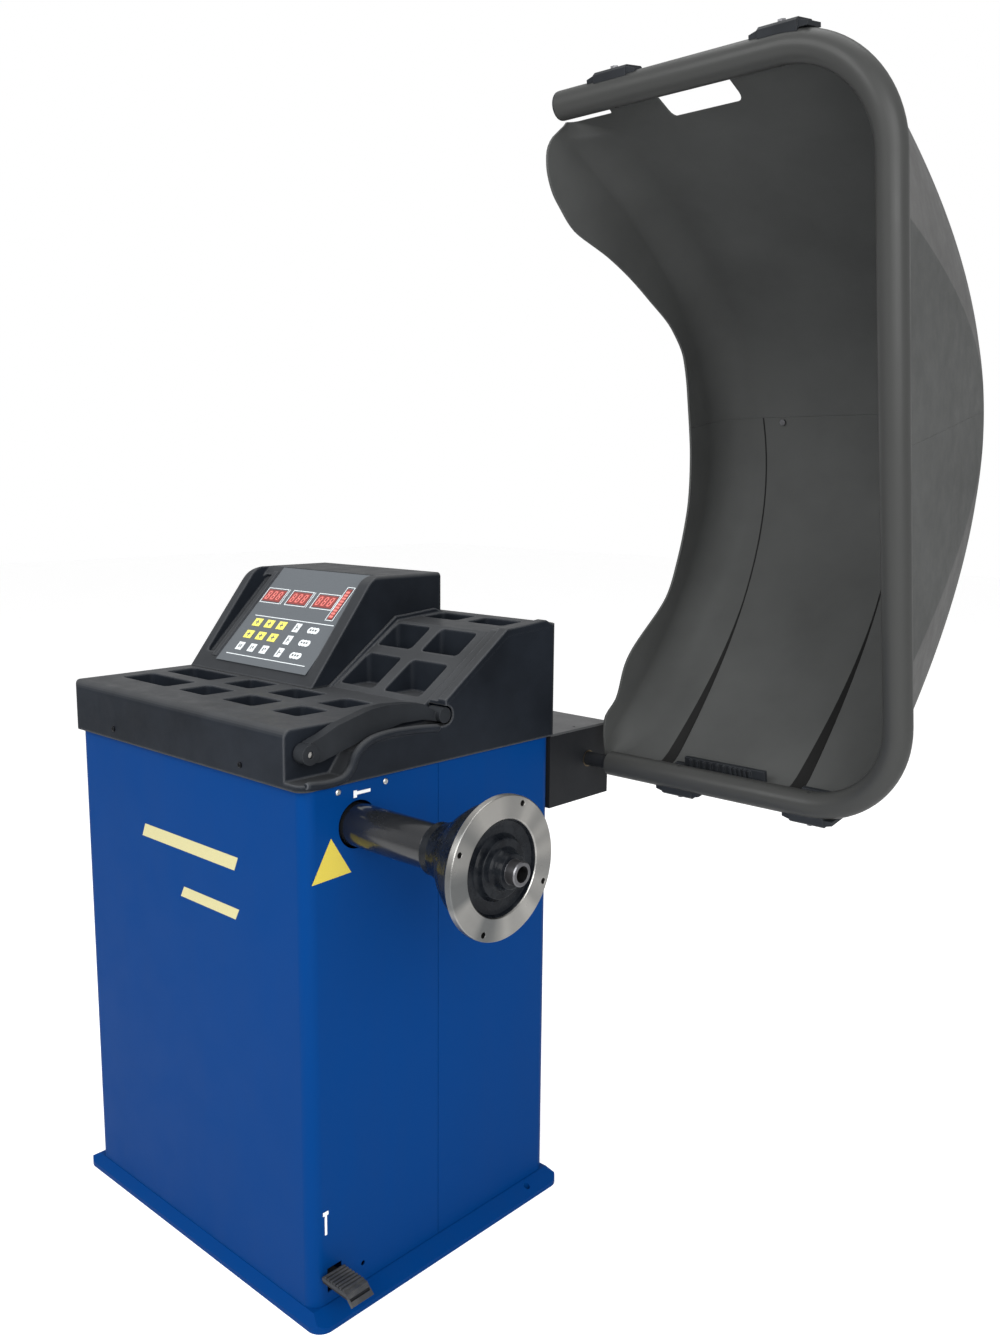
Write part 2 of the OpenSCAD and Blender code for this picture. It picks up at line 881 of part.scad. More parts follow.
module encoder_sensor() {
    top = encoder_r + 10;
    color(black)
        at_spindle()
            difference() {
                block([encoder_x - 14, encoder_x + 16], [-8, 8],
                      [shelf_z - spindle_z + eps, -encoder_r + 14]);
                block([encoder_x - 3, encoder_x + 5], [-9, 9], [-top, 0]);
            }
}

// ---------------------------------------------------------------- motor drive

module drive_motor() {
    color(dark)
        at_motor()
            difference() {
                union() {
                    rod(motor_r, motor_x);
                    for (i = [0 : 11])
                        rotate([30 * i, 0, 0])
                            block([motor_x[0] + 14, motor_x[1] - 14], [-1.5, 1.5],
                                  [motor_r - 2, motor_r + 5]);
                }
                rod(motor_shaft_r + run, [motor_x[0] - 1, motor_x[0] + 40]);
            }
}

module motor_bracket() {
    color(steel)
        difference() {
            union() {
                block([6, 12 - eps], [motor_y - 62, motor_y + 62],
                      [motor_z - 62, shelf_z - shelf_t - eps]);
                block([6, 60], [motor_y - 62, motor_y + 62],
                      [shelf_z - shelf_t - 6, shelf_z - shelf_t - eps]);
            }
            at_motor() rod(18, [0, 20]);
            for (dy = [-40, 40])
                translate([40, motor_y + dy, shelf_z - 20]) cylinder(r = 4.2, h = 30);
        }
}

module motor_shaft() {
    color(steel)
        at_motor() rod(motor_shaft_r, [pulley_x[0], motor_x[0] + 38]);
}

module motor_pulley() {
    color(steel)
        at_motor()
            difference() {
                union() {
                    rod(motor_pulley_r, [belt_x[0] - 2.5, belt_x[1] + 2.5]);
                    rod(motor_pulley_r + 2, [belt_x[0] - 2.5, belt_x[0] - 0.5]);
                    rod(motor_pulley_r + 2, [belt_x[1] + 0.5, belt_x[1] + 2.5]);
                }
                rod(motor_shaft_r + slip, [belt_x[0] - 10, belt_x[1] + 10]);
            }
}

// Part of the belt that wraps a pulley, between two headings
module belt_wrap(r, start, sweep) {
    rotate([0, 0, start])
        rotate_extrude(angle = sweep, $fn = 96)
            translate([r, 0]) square([belt_t, belt_x[1] - belt_x[0]]);
}

// Straight run of the belt, whose ends lie just inside the two wraps
module belt_run(r, length) {
    translate([r + belt_inset, -belt_lap, belt_inset])
        cube([belt_t - 2 * belt_inset, length + 2 * belt_lap,
              belt_x[1] - belt_x[0] - 2 * belt_inset]);
}

module drive_belt() {
    dy = motor_y - spindle_y;
    dz = motor_z - spindle_z;
    gap = norm([dy, dz]);
    heading = atan2(dz, dy);
    big_r = pulley_r + 0.1;
    small_r = motor_pulley_r + 0.1;
    lean = acos((big_r - small_r) / gap);
    length = gap * sin(lean);
    color(black)
        translate([belt_x[0], spindle_y, spindle_z]) rotate([90, 0, 90]) {
            belt_wrap(big_r, heading + lean, 360 - 2 * lean);
            translate([dy, dz, 0]) belt_wrap(small_r, heading - lean, 2 * lean);
            rotate([0, 0, heading - lean]) belt_run(big_r, length);
            rotate([0, 0, heading + lean]) translate([0, -length, 0]) belt_run(big_r, length);
        }
}

// ---------------------------------------------------------------- gauge

module gauge_guide() {
    bar_z = ring_z + tube + eps;
    color(steel)
        difference() {
            union() {
                for (x = gauge_guide_x) {
                    translate([0, gauge_y, gauge_z]) rod(11, x);
                    block([x[1] - 14, x[1] - 2], [gauge_y - 6, gauge_y + 6],
                          [bar_z, gauge_z - 8]);
                }
                block([gauge_guide_x[0][1] - 14, gauge_guide_x[1][1] - 2],
                      [gauge_y - 8, gauge_y + 8], [bar_z, bar_z + 6]);
            }
            translate([0, gauge_y, gauge_z])
                rod(gauge_rod_r + run, [gauge_guide_x[0][0] - 1, gauge_guide_x[1][1] + 1]);
        }
}

module gauge_sensor() {
    color([0.1, 0.25, 0.5])
        difference() {
            block([110, 150], [gauge_y - 9, gauge_y + 9],
                  [ring_z + tube + 6 + 2 * eps, gauge_z - 11.5]);
            translate([130, gauge_y, gauge_z - 26]) rotate([90, 0, 0])
                cylinder(r = 3, h = 40, center = true);
        }
}

module gauge_rod() {
    color(steel)
        translate([0, gauge_y, gauge_z]) {
            rod(gauge_rod_r, [-190, arm_x[0] - 4]);
            rod(6, [arm_x[0] - 5, arm_x[1] + 2]);
        }
}

module gauge_arm() {
    color(black)
        difference() {
            union() {
                x_prism([[gauge_y, 911], [-6, 912.4], [-30, 925.5], [-63, 931],
                         [-104, 934], [-135, 932], [-162, 926], [-200, 917],
                         [-227, 906], [-250, 899], [-250, 870],
                         [-232, 868], [-182, 880], [-134, 892], [-73, 902], [-30, 901],
                         [gauge_y, 892]],
                        [arm_x[0] + 2, arm_x[1] - 2]);
                translate([0, gauge_y, gauge_z]) rod(12.5, [arm_x[0], arm_knob_x]);
                translate([0, gauge_head_y, gauge_head_z]) rod(15, arm_x);
            }
            translate([0, gauge_y, gauge_z])
                rod(6 + slip, [arm_x[0] - 1, arm_x[1] + 2 + slip]);
            translate([0, gauge_head_y, gauge_head_z]) rod(5, [arm_x[0] - 1, arm_x[1] + 1]);
        }
}

module gauge_tip() {
    color(steel)
        translate([0, gauge_head_y, gauge_head_z])
            union() {
                rod(5 - slip, [arm_x[0] + 1, arm_x[1] - 3]);
                rod(7, [arm_x[0] - 3, arm_x[0] - eps]);
            }
}

// ---------------------------------------------------------------- hinge box

module hinge_box() {
    color(black)
        difference() {
            block(box_x, box_y, [box_z[0], box_z[1] - 4]);
            block([box_x[0] + box_t, box_x[1] - box_t], [box_y[0] + box_t, box_y[1] - box_t],
                  [box_z[0] + box_t, box_z[1]]);
            translate([0, hinge_y, hinge_z]) rod(15, [box_x[0] - 5, box_x[1] + 5]);
            for (z = box_bolt_z, x = box_bolt_x)
                translate([x, box_y[0], z]) rotate([90, 0, 0])
                    cylinder(r = 4.2, h = 20, center = true);
        }
}

module hinge_box_cover() {
    color([0.3, 0.3, 0.31])
        difference() {
            union() {
                block([box_x[0] - 2, box_x[1] + 1.5], [box_y[0], box_y[1] + 2],
                      [box_z[1] - 4 + eps, box_z[1]]);
                block([box_x[0] - 2, box_x[1] + 1.5], [box_y[1] + eps, box_y[1] + 2],
                      [box_z[1] - 18, box_z[1] - 1]);
            }
            for (x = [box_x[0] + 14, box_x[1] - 14])
                translate([x, 350, box_z[1] - 10]) cylinder(r = 2.6, h = 20);
        }
}

module hinge_bushes() {
    color([0.7, 0.55, 0.25])
        translate([0, hinge_y, hinge_z]) {
            for (x = [box_x[1] - box_t - 8, box_x[0]])
                difference() {
                    union() {
                        rod(15 - slip, [x, x + box_t + 8]);
                        rod(18, x > 200 ? [x, x + 8 - eps] : [x + box_t + eps, x + box_t + 8]);
                    }
                    rod(hinge_shaft_r + run, [x - 1, x + box_t + 10]);
                }
        }
}

module hood_switch() {
    color([0.75, 0.15, 0.1])
        union() {
            block([200, 228], [box_y[0] + box_t + eps, box_y[0] + 18], [790, 812]);
            block([212, 216], [box_y[0] + 17, box_y[0] + 24], [795, 807]);
        }
}

module hinge_shaft() {
    color(dark)
        translate([0, hinge_y, hinge_z])
            difference() {
                union() {
                    rod(hinge_shaft_r, [box_x[0] - 4, hinge_shaft_end]);
                    rod(20, [180, 196]);
                    rod(tube_r - frame_t - slip, [frame_x[0] + 2, frame_x[0] + 24]);
                    rotate([-45, 0, 0]) block([182, 194], [-6, 6], [0, 46]);
                }
                rotate([-45, 0, 0]) translate([0, 0, 40]) rod(3, [170, 200]);
            }
}

// Coil spring along +Z, as a six-sided wire swept up a helix
module coil(r, wire, height, turns) {
    sides = 6;
    steps = 16 * turns;
    function wire_point(i, k) =
        let (turn = 360 * turns * i / steps,
             out = r + wire * cos(360 * k / sides))
            [out * cos(turn), out * sin(turn),
             wire + (height - 2 * wire) * i / steps + wire * sin(360 * k / sides)];
    polyhedron(
        points = [for (i = [0 : steps], k = [0 : sides - 1]) wire_point(i, k)],
        faces = concat(
            [[for (k = [0 : sides - 1]) k]],
            [for (i = [0 : steps - 1], k = [0 : sides - 1])
                let (next = (k + 1) % sides, a = i * sides, b = a + sides)
                    [a + next, a + k, b + k]],
            [for (i = [0 : steps - 1], k = [0 : sides - 1])
                let (next = (k + 1) % sides, a = i * sides, b = a + sides)
                    [a + next, b + k, b + next]],
            [[for (k = [sides - 1 : -1 : 0]) steps * sides + k]]));
}

module hood_spring() {
    color(steel)
        translate([188, hinge_y + 29, box_z[0] + box_t + 1]) coil(7, 1.4, 80, 9);
}

// ---------------------------------------------------------------- hood frame

// Tube of the frame: lower run, bend, upright, bend, upper run
module frame_solid(r, over) {
    right = frame_x[1];
    rod(r, [frame_x[0] - over, right - frame_bend_r]);
    translate([0, 0, frame_h]) rod(r, [frame_top_x - over, right - frame_bend_r]);
    translate([right, 0, frame_bend_r]) cylinder(r = r, h = frame_h - 2 * frame_bend_r);
    for (top = [0, 1])
        translate([right - frame_bend_r, 0,
                   top == 1 ? frame_h - frame_bend_r : frame_bend_r])
            rotate([90, top == 1 ? 0 : 90, 0])
                rotate_extrude(angle = 90) translate([frame_bend_r, 0]) circle(r = r);
}

module hood_frame() {
    color(black)
        at_hood()
            difference() {
                frame_solid(tube_r, 0);
                frame_solid(tube_r - frame_t, 1);
                frame_bolt_holes();
            }
}

module frame_bolt_holes() {
    for (v = [0, frame_h], x = v > 100 ? clamp_top_x : clamp_bottom_x)
        translate([x + clamp_w / 2, 0, v])
            cylinder(r = 3.4, h = 2 * (tube_r + clamp_t + 5), center = true);
}

module frame_end_cap() {
    color(black)
        at_hood()
            translate([0, 0, frame_h]) {
                rod(tube_r - frame_t - slip, [frame_top_x - 1, frame_top_x + 18]);
                rod(tube_r - 0.4, [frame_top_x - 3, frame_top_x - eps]);
            }
}

// ---------------------------------------------------------------- hood shells

// Points of the back's curve between two places along the frame, moved out by t
function back_curve(v0, v1, t) =
    [for (i = [0 : 12]) let (v = v0 + (v1 - v0) * i / 12) [hood_back(v) + t, v]];

// Region between the frame plane and the back, as [u, v] points
function side_region(v0, v1, t) =
    concat([[4, v0]], back_curve(v0, v1, t), [[4, v1]]);

// Everything on the wheel side of the drafted right wall, moved out by t
module inside_right(t) {
    translate([shell_right + t, 0, 0]) rotate([0, 0, shell_draft])
        translate([-900, -200, -200]) cube([900, 900, frame_h + 400]);
}

// Everything on the wheel side of the slanting band that joins the back to the right wall
module inside_band(t) {
    rotate([0, 0, band_slant]) translate([0, 600, 0]) rotate([90, 0, 0])
        linear_extrude(1300)
            polygon(concat([[0, -5]],
                           [for (i = [0 : 24]) let (v = frame_h * i / 24)
                               [band_x * cos(band_slant) + sin(band_slant) * hood_back(v) + t,
                                v]],
                           [[0, frame_h + 5]]));
}

// Everything inside the frame's rounded right-hand corners
module inside_frame() {
    r = frame_bend_r + 4;
    right = frame_x[1] - frame_bend_r;
    translate([0, 700, 0]) rotate([90, 0, 0]) linear_extrude(800) {
        translate([300, 0]) square([right - 300, frame_h]);
        translate([300, frame_bend_r]) square([right - 300 + r, frame_h - 2 * frame_bend_r]);
        for (v = [frame_bend_r, frame_h - frame_bend_r])
            translate([right, v]) circle(r = r);
    }
}

// Solid between the frame's plane and the skin between two places along the frame
module hood_body(v0, v1, t) {
    intersection() {
        x_prism(side_region(v0, v1, t), [shell_left + shell_t - t, 960]);
        inside_right(t);
        inside_band(t);
    }
}

// Holes for the seam's bolts
module seam_bolt_holes() {
    for (x = seam_bolt_x)
        translate([x, hood_back(seam_v), seam_v - seam_bolt_v])
            rotate([90, 0, 0]) cylinder(r = 3.4, h = 60, center = true);
}

// Openings that both halves share: the free edge, the notches at both ends, the front side
module hood_openings() {
    translate([0, cut_u, frame_h / 2]) rod(cut_r, [shell_left - 10, shell_left + 40]);
    for (v = [0, frame_h])
        block(notch_x, [0, 90], [v - 35, v + 35]);
    block([0, 1000], [-100, shell_front_u], [-100, frame_h + 100]);
    seam_bolt_holes();
}

// Hood skin between two places along the frame, from offset t0 to offset t1
module shell_half(v0, v1, t0, t1) {
    difference() {
        intersection() {
            hood_body(v0, v1, t1);
            inside_frame();
        }
        hood_body(v0 - 1, v1 + 1, t0);
        hood_openings();
    }
}

module hood_upper_shell() {
    color(dark)
        at_hood() {
            shell_half(seam_v + 0.5, frame_h - 1, 0, shell_t);
            intersection() {
                union() {
                    shell_half(seam_v + 0.5, seam_v + seam_step, shell_t - 1, 2 * shell_t);
                    shell_half(seam_v - seam_lap, seam_v + seam_step, shell_t + 0.1,
                               2 * shell_t);
                }
                block([shell_left + 12, band_x - 6], [0, 600], [0, frame_h]);
            }
        }
}

module hood_lower_shell() {
    color(dark) at_hood() shell_half(1, seam_v - 0.5, 0, shell_t);
}

// Saddle pad that lies on the outer side of a level run and holds the hood's rim
module saddle_clamp(x, v) {
    outward = v > 100 ? 1 : -1;
    front = -15;
    back = shell_rim_u - 1.5;
    crest = tube_r + clamp_t;
    translate([0, 0, v]) scale([1, 1, outward]) {
        x_prism([[front, 8], [front, crest - 4], [front + 5, crest], [back - 12, crest],
                 [back, crest - 12], [back, -12], [back - 8, -12], [back - 16, 8]],
                [x + clamp_end, x + clamp_w - clamp_end]);
        y_prism([[x, tube_r - 4], [x, tube_r + 2], [x + clamp_end + 1, crest - 3],
                 [x + clamp_w - clamp_end - 1, crest - 3], [x + clamp_w, tube_r + 2],
                 [x + clamp_w, tube_r - 4]], [front + 3, back - 14]);
    }
}

module hood_clamps() {
    color(black)
        at_hood()
            difference() {
                union() {
                    for (x = clamp_top_x) saddle_clamp(x, frame_h);
                    for (x = clamp_bottom_x) saddle_clamp(x, 0);
                }
                frame_solid(tube_r + slip, 0);
                frame_bolt_holes();
            }
}

module hood_bolt(length) {
    cylinder(r = 3.2, h = length);
    translate([0, 0, -4]) cylinder(r = 6, h = 4 + eps, $fn = 6);
}

module hood_bolts() {
    reach = tube_r + clamp_t + eps;
    color(steel)
        at_hood() {
            for (v = [0, frame_h], x = v > 100 ? clamp_top_x : clamp_bottom_x)
                translate([x + clamp_w / 2, 0, v > 100 ? v + reach : -reach])
                    rotate([v > 100 ? 180 : 0, 0, 0]) hood_bolt(reach + tube_r - 2);
            for (x = seam_bolt_x)
                translate([x, hood_back(seam_v) - seam_bolt_gap, seam_v - seam_bolt_v])
                    rotate([-90, 0, 0]) hood_bolt(2 * shell_t + 3);
        }
}

// ---------------------------------------------------------------- pedal and brake

module pedal_bracket() {
    color(dark)
        difference() {
            union() {
                block([115, 190], [-245, -150], [base_edge + eps, base_edge + 5]);
                for (y = [-244, -156])
                    block([130, 170], [y - 4, y + 4], [base_edge + 1, pedal_z + 14]);
            }
            translate([pedal_pivot_x, 0, pedal_z]) rotate([90, 0, 0])
                cylinder(r = 6 + run, h = 600, center = true);
        }
}

module brake_pedal() {
    color(dark)
        difference() {
            union() {
                translate([pedal_pivot_x, -160, pedal_z]) rotate([90, 0, 0])
                    cylinder(r = 13, h = 80);
                translate([pedal_pivot_x, -150, pedal_z]) rotate([90, 0, 0])
                    cylinder(r = 6, h = 100);
                block([pedal_pivot_x, 380], [pedal_arm_y - 6, pedal_arm_y + 6],
                      [pedal_z - 9, pedal_z + 7]);
                block([318, 382], [-253, -216], [pedal_z + 2, pedal_z + 7]);
                block([rod_x - 14, pedal_pivot_x], [-176, -164], [pedal_z - 9, pedal_z + 7]);
            }
            translate([pedal_pivot_x, 0, pedal_z]) rotate([90, 0, 0])
                cylinder(r = 2.5, h = 600, center = true);
        }
}

module pedal_pad() {
    top = pedal_z + 7 + eps;
    color(black)
        difference() {
            union() {
                block([319, 376], [-255, -214], [top, top + 6]);
                for (i = [0 : 6])
                    block([323 + 7 * i, 327 + 7 * i], [-254, -215], [top + 5, top + 9]);
                y_prism([[374, top], [374, top + 6], [390, top - 8], [386, top - 12]],
                          [-255, -214]);
            }
            block([300, 384], [-253.2, -215.8], [top - 10, top]);
        }
}

module brake_rod() {
    foot = pedal_z + 7 + 1;
    shoe_bottom = spindle_z - shoe_r - brake_travel - 14;
    color(steel)
        union() {
            translate([rod_x, spindle_y, foot]) cylinder(r = rod_r, h = shoe_bottom - foot);
            translate([rod_x, spindle_y, spring_foot]) cylinder(r = 13, h = 5);
        }
}

module brake_shoe() {
    color([0.35, 0.2, 0.12])
        translate([0, spindle_y, spindle_z - brake_travel])
            difference() {
                block([rod_x - 10, rod_x + 10], [-34, 34], [-shoe_r - 14 + eps, -46]);
                rod(shoe_r, [-100, 50]);
            }
}

module pedal_spring() {
    color(steel)
        translate([rod_x, spindle_y, spring_foot + 5.5])
            coil(10, 1.5, shelf_z - shelf_t - spring_foot - 6, 5);
}

// ---------------------------------------------------------------- small outer pieces

module panel_clips() {
    face = cab_w / 2 + eps;
    color([0.94, 0.94, 0.93]) {
        block([face, face + 1.5], [-178, -146], [811, 816]);
        block([face, face + 1.5], [-178, -172], [807, 818]);
        block([face, face + 1.5], [-244, -240], [140, 176]);
        block([face, face + 1.5], [-247, -237], [172, 178]);
    }
}

module side_label() {
    face = cab_w / 2 + eps;
    color([0.95, 0.85, 0.2])
        x_prism([[-257, 693], [-184, 696], [-221, 755]], [face, face + 0.4]);
}

module front_stripes() {
    color([0.9, 0.87, 0.5])
        translate([0, -cab_d / 2 - eps, 0]) rotate([90, 0, 0])
            linear_extrude(0.4)
                for (s = [[-120, 150, 678, 22], [-10, 150, 600, 18]])
                    polygon([[s[0], s[2]], [s[1] - 10, s[2]], [s[1], s[2] + s[3]],
                             [s[0] + 10, s[2] + s[3]]]);
}

base_plate();
front_cover();
rear_cover();
inner_frame();
cover_screws();
weight_tray();
console_housing();
display_panel();
led_windows();
yellow_keys();
white_keys();
panel_lines();
control_board();
power_board();
transformer();
mains_inlet();
mains_rocker();
spindle_housing();
housing_bracket();
shaft_seals();
bearing_outer_rings();
bearing_balls();
bearing_inner_rings();
pickup_sensors();
spindle_shaft();
wheel_flange();
driven_pulley();
encoder_disc();
encoder_sensor();
drive_motor();
motor_bracket();
motor_shaft();
motor_pulley();
drive_belt();
gauge_guide();
gauge_sensor();
gauge_rod();
gauge_arm();
gauge_tip();
hinge_box();
hinge_box_cover();
hinge_bushes();
hood_switch();
hood_spring();
hinge_shaft();
hood_frame();
frame_end_cap();
hood_upper_shell();
hood_lower_shell();
hood_clamps();
hood_bolts();
pedal_bracket();
pedal_spring();
brake_pedal();
pedal_pad();
brake_rod();
brake_shoe();
panel_clips();
side_label();
front_stripes();
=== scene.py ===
"""Looks of the wheel balancer: materials, moulded hood shells, details, light and camera."""

import json
import math

import bmesh
import bpy
from mathutils import Matrix, Vector


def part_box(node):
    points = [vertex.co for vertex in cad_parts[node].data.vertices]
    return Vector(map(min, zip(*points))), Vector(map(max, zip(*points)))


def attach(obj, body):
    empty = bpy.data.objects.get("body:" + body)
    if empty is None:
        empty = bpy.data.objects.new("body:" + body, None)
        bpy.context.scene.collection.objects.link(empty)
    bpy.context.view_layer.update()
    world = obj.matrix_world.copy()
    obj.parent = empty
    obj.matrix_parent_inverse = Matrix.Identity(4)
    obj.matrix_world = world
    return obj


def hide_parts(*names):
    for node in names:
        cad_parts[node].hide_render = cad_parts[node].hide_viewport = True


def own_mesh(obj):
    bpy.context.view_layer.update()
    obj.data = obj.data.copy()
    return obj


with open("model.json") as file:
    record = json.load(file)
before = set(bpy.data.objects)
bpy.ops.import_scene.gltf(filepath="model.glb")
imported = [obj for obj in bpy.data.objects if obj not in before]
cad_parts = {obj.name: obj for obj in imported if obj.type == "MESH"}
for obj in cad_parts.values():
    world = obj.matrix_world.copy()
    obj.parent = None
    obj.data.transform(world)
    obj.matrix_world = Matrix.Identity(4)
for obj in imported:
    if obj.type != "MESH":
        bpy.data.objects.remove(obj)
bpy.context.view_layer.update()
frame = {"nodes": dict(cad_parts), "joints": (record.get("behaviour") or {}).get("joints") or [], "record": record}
nodes = frame["nodes"]
joints = {joint["name"]: joint for joint in frame["joints"]}
MM = 0.001

# ---------------------------------------------------------------- material helpers


def new_material(name):
    """A material with an empty node tree apart from its Principled shader and output."""
    material = bpy.data.materials.new(name)
    material.use_nodes = True
    tree = material.node_tree
    shader = tree.nodes["Principled BSDF"]
    return material, tree, shader


def add_node(tree, kind, **inputs):
    """Adds a node; each input is a value or another node's output socket."""
    node = tree.nodes.new(kind)
    for name, value in inputs.items():
        socket = node.inputs[name.replace("_", " ")]
        if isinstance(value, bpy.types.NodeSocket):
            tree.links.new(value, socket)
        else:
            socket.default_value = value
    return node


def place(tree):
    """Coordinates in the row's own frame, in metres."""
    return add_node(tree, "ShaderNodeTexCoord").outputs["Object"]


def noise(tree, scale, detail=4.0, roughness=0.5, vector=None):
    """Noise value with a given number of cells per metre."""
    vector = vector or place(tree)
    node = add_node(tree, "ShaderNodeTexNoise", Vector=vector, Scale=scale, Detail=detail,
                    Roughness=roughness)
    return node.outputs["Fac"]


def remap(tree, value, low, high, new_low, new_high):
    """Clamped linear map of a value."""
    node = add_node(tree, "ShaderNodeMapRange")
    tree.links.new(value, node.inputs["Value"])
    for name, number in (("From Min", low), ("From Max", high), ("To Min", new_low),
                         ("To Max", new_high)):
        node.inputs[name].default_value = number
    return node.outputs["Result"]


def mix_colour(tree, factor, first, second):
    """Blend of two colours or colour sockets."""
    node = tree.nodes.new("ShaderNodeMix")
    node.data_type = "RGBA"
    for socket, value in ((node.inputs[0], factor), (node.inputs[6], first),
                          (node.inputs[7], second)):
        if isinstance(value, bpy.types.NodeSocket):
            tree.links.new(value, socket)
        elif isinstance(value, (int, float)):
            socket.default_value = value
        else:
            socket.default_value = (*value, 1.0)
    return node.outputs[2]


def maths(tree, operation, first, second=0.0):
    """One arithmetic step on values or sockets."""
    node = tree.nodes.new("ShaderNodeMath")
    node.operation = operation
    for socket, value in zip(node.inputs, (first, second)):
        if isinstance(value, bpy.types.NodeSocket):
            tree.links.new(value, socket)
        else:
            socket.default_value = value
    return node.outputs[0]


def bump(tree, shader, height, strength, distance):
    """Adds a height to the shader's normal, after any bump that is there already."""
    node = add_node(tree, "ShaderNodeBump", Height=height, Strength=strength, Distance=distance)
    socket = shader.inputs["Normal"]
    if socket.is_linked:
        tree.links.new(socket.links[0].from_socket, node.inputs["Normal"])
    tree.links.new(node.outputs["Normal"], socket)


def rounded_normal(tree, radius):
    """Normal that turns smoothly over the object's edges."""
    node = add_node(tree, "ShaderNodeBevel", Radius=radius)
    node.samples = 6
    return node.outputs["Normal"]


def edge_wear_and_highlight(tree, normal):
    """Value that rises near edges, where the rounded normal turns: it marks rubbed plastic and a painted highlight
    of edges catching the light.
    """
    geometry = tree.nodes.new("ShaderNodeNewGeometry")
    node = tree.nodes.new("ShaderNodeVectorMath")
    node.operation = "DOT_PRODUCT"
    tree.links.new(normal, node.inputs[0])
    tree.links.new(geometry.outputs["True Normal"], node.inputs[1])
    return remap(tree, node.outputs["Value"], 0.985, 0.86, 0.0, 1.0)


DUST_AND_TOP_LIGHT = (0.105, 0.107, 0.108)


def moulded(name, colour, rough=0.45, grain=900.0, grain_height=0.00008, rubbed_and_lit=0.25,
            patch=0.25, dust_and_top_light=0.0, edge=0.0015):
    """Moulded plastic: fine leathery grain, cloudy sheen, rubbed edges with a painted highlight, dust and painted
    top light on level faces.
    """
    material, tree, shader = new_material(name)
    cloud = noise(tree, 6.0, 5.0, 0.6)
    darker = tuple(c * (1 - patch) for c in colour)
    paler = tuple(c * (1 + patch) for c in colour)
    tone = mix_colour(tree, remap(tree, cloud, 0.35, 0.65, 0.0, 1.0), darker, paler)
    # Paler edges: wear, and a painted highlight where the edges catch the light
    worn_and_lit_tone = tuple(min(1.0, c * 1.8 + 0.06) for c in colour)
    rounded = rounded_normal(tree, edge)
    tree.links.new(rounded, shader.inputs["Normal"])
    share = maths(tree, "MULTIPLY", edge_wear_and_highlight(tree, rounded), rubbed_and_lit)
    tone = mix_colour(tree, share, tone, worn_and_lit_tone)
    # Faces turned up are paler: real dust, and painted light falling on the tops
    if dust_and_top_light:
        facing = add_node(tree, "ShaderNodeSeparateXYZ", Vector=tree.nodes.new(
            "ShaderNodeNewGeometry").outputs["Normal"])
        level = remap(tree, facing.outputs["Z"], 0.25, 0.85, 0.0, dust_and_top_light)
        uneven = maths(tree, "MULTIPLY", level, remap(tree, cloud, 0.3, 0.7, 0.75, 1.0))
        tone = mix_colour(tree, uneven, tone, DUST_AND_TOP_LIGHT)
    tree.links.new(tone, shader.inputs["Base Color"])
    sheen = noise(tree, 28.0, 6.0, 0.65)
    tree.links.new(remap(tree, sheen, 0.3, 0.7, rough - 0.07, rough + 0.09),
                   shader.inputs["Roughness"])
    shader.inputs["Specular IOR Level"].default_value = 0.07
    cells = add_node(tree, "ShaderNodeTexVoronoi", Vector=place(tree), Scale=grain)
    bump(tree, shader, cells.outputs["Distance"], 0.35, grain_height)
    bump(tree, shader, noise(tree, 45.0, 3.0), 0.25, 0.0004)
    return material


def painted(name, colour, rough=0.3, coat=0.4, peel=0.00006, dust=0.12, waves=0.0008,
            mirror=0.3):
    """Powder coat on sheet steel: orange peel, slow waves of the sheet, dusty streaks."""
    material, tree, shader = new_material(name)
    streak_space = add_node(tree, "ShaderNodeMapping", Vector=place(tree),
                            Scale=(9.0, 9.0, 1.6)).outputs["Vector"]
    streak = noise(tree, 2.0, 7.0, 0.62, streak_space)
    dusty = tuple(c * (1 - dust) + 0.03 * dust for c in colour)
    tone = mix_colour(tree, remap(tree, streak, 0.42, 0.72, 0.0, 1.0), colour, dusty)
    tree.links.new(tone, shader.inputs["Base Color"])
    tree.links.new(remap(tree, noise(tree, 14.0, 6.0, 0.6), 0.3, 0.7, rough - 0.05, rough + 0.1),
                   shader.inputs["Roughness"])
    shader.inputs["Specular IOR Level"].default_value = mirror
    shader.inputs["Coat Weight"].default_value = coat
    shader.inputs["Coat Roughness"].default_value = 0.12
    bump(tree, shader, noise(tree, 520.0, 2.0), 0.5, peel)
    if waves:
        bump(tree, shader, noise(tree, 3.0, 1.0), 0.3, waves)
    return material


def machined(name, colour, rough=0.3, axis_scale=(400.0, 12.0, 12.0), smear=0.3):
    """Turned or drawn steel: fine lines across the cut direction and oily smears."""
    material, tree, shader = new_material(name)
    shader.inputs["Metallic"].default_value = 1.0
    lines_space = add_node(tree, "ShaderNodeMapping", Vector=place(tree),
                           Scale=axis_scale).outputs["Vector"]
    lines = noise(tree, 3.0, 5.0, 0.7, lines_space)
    oil = noise(tree, 22.0, 6.0, 0.7)
    dark = tuple(c * (1 - smear) for c in colour)
    tone = mix_colour(tree, remap(tree, oil, 0.4, 0.7, 0.0, 1.0), colour, dark)
    tree.links.new(tone, shader.inputs["Base Color"])
    both = maths(tree, "ADD", remap(tree, lines, 0.3, 0.7, -0.06, 0.06),
                 remap(tree, oil, 0.3, 0.7, rough - 0.05, rough + 0.1))
    tree.links.new(both, shader.inputs["Roughness"])
    bump(tree, shader, lines, 0.3, 0.00005)
    return material


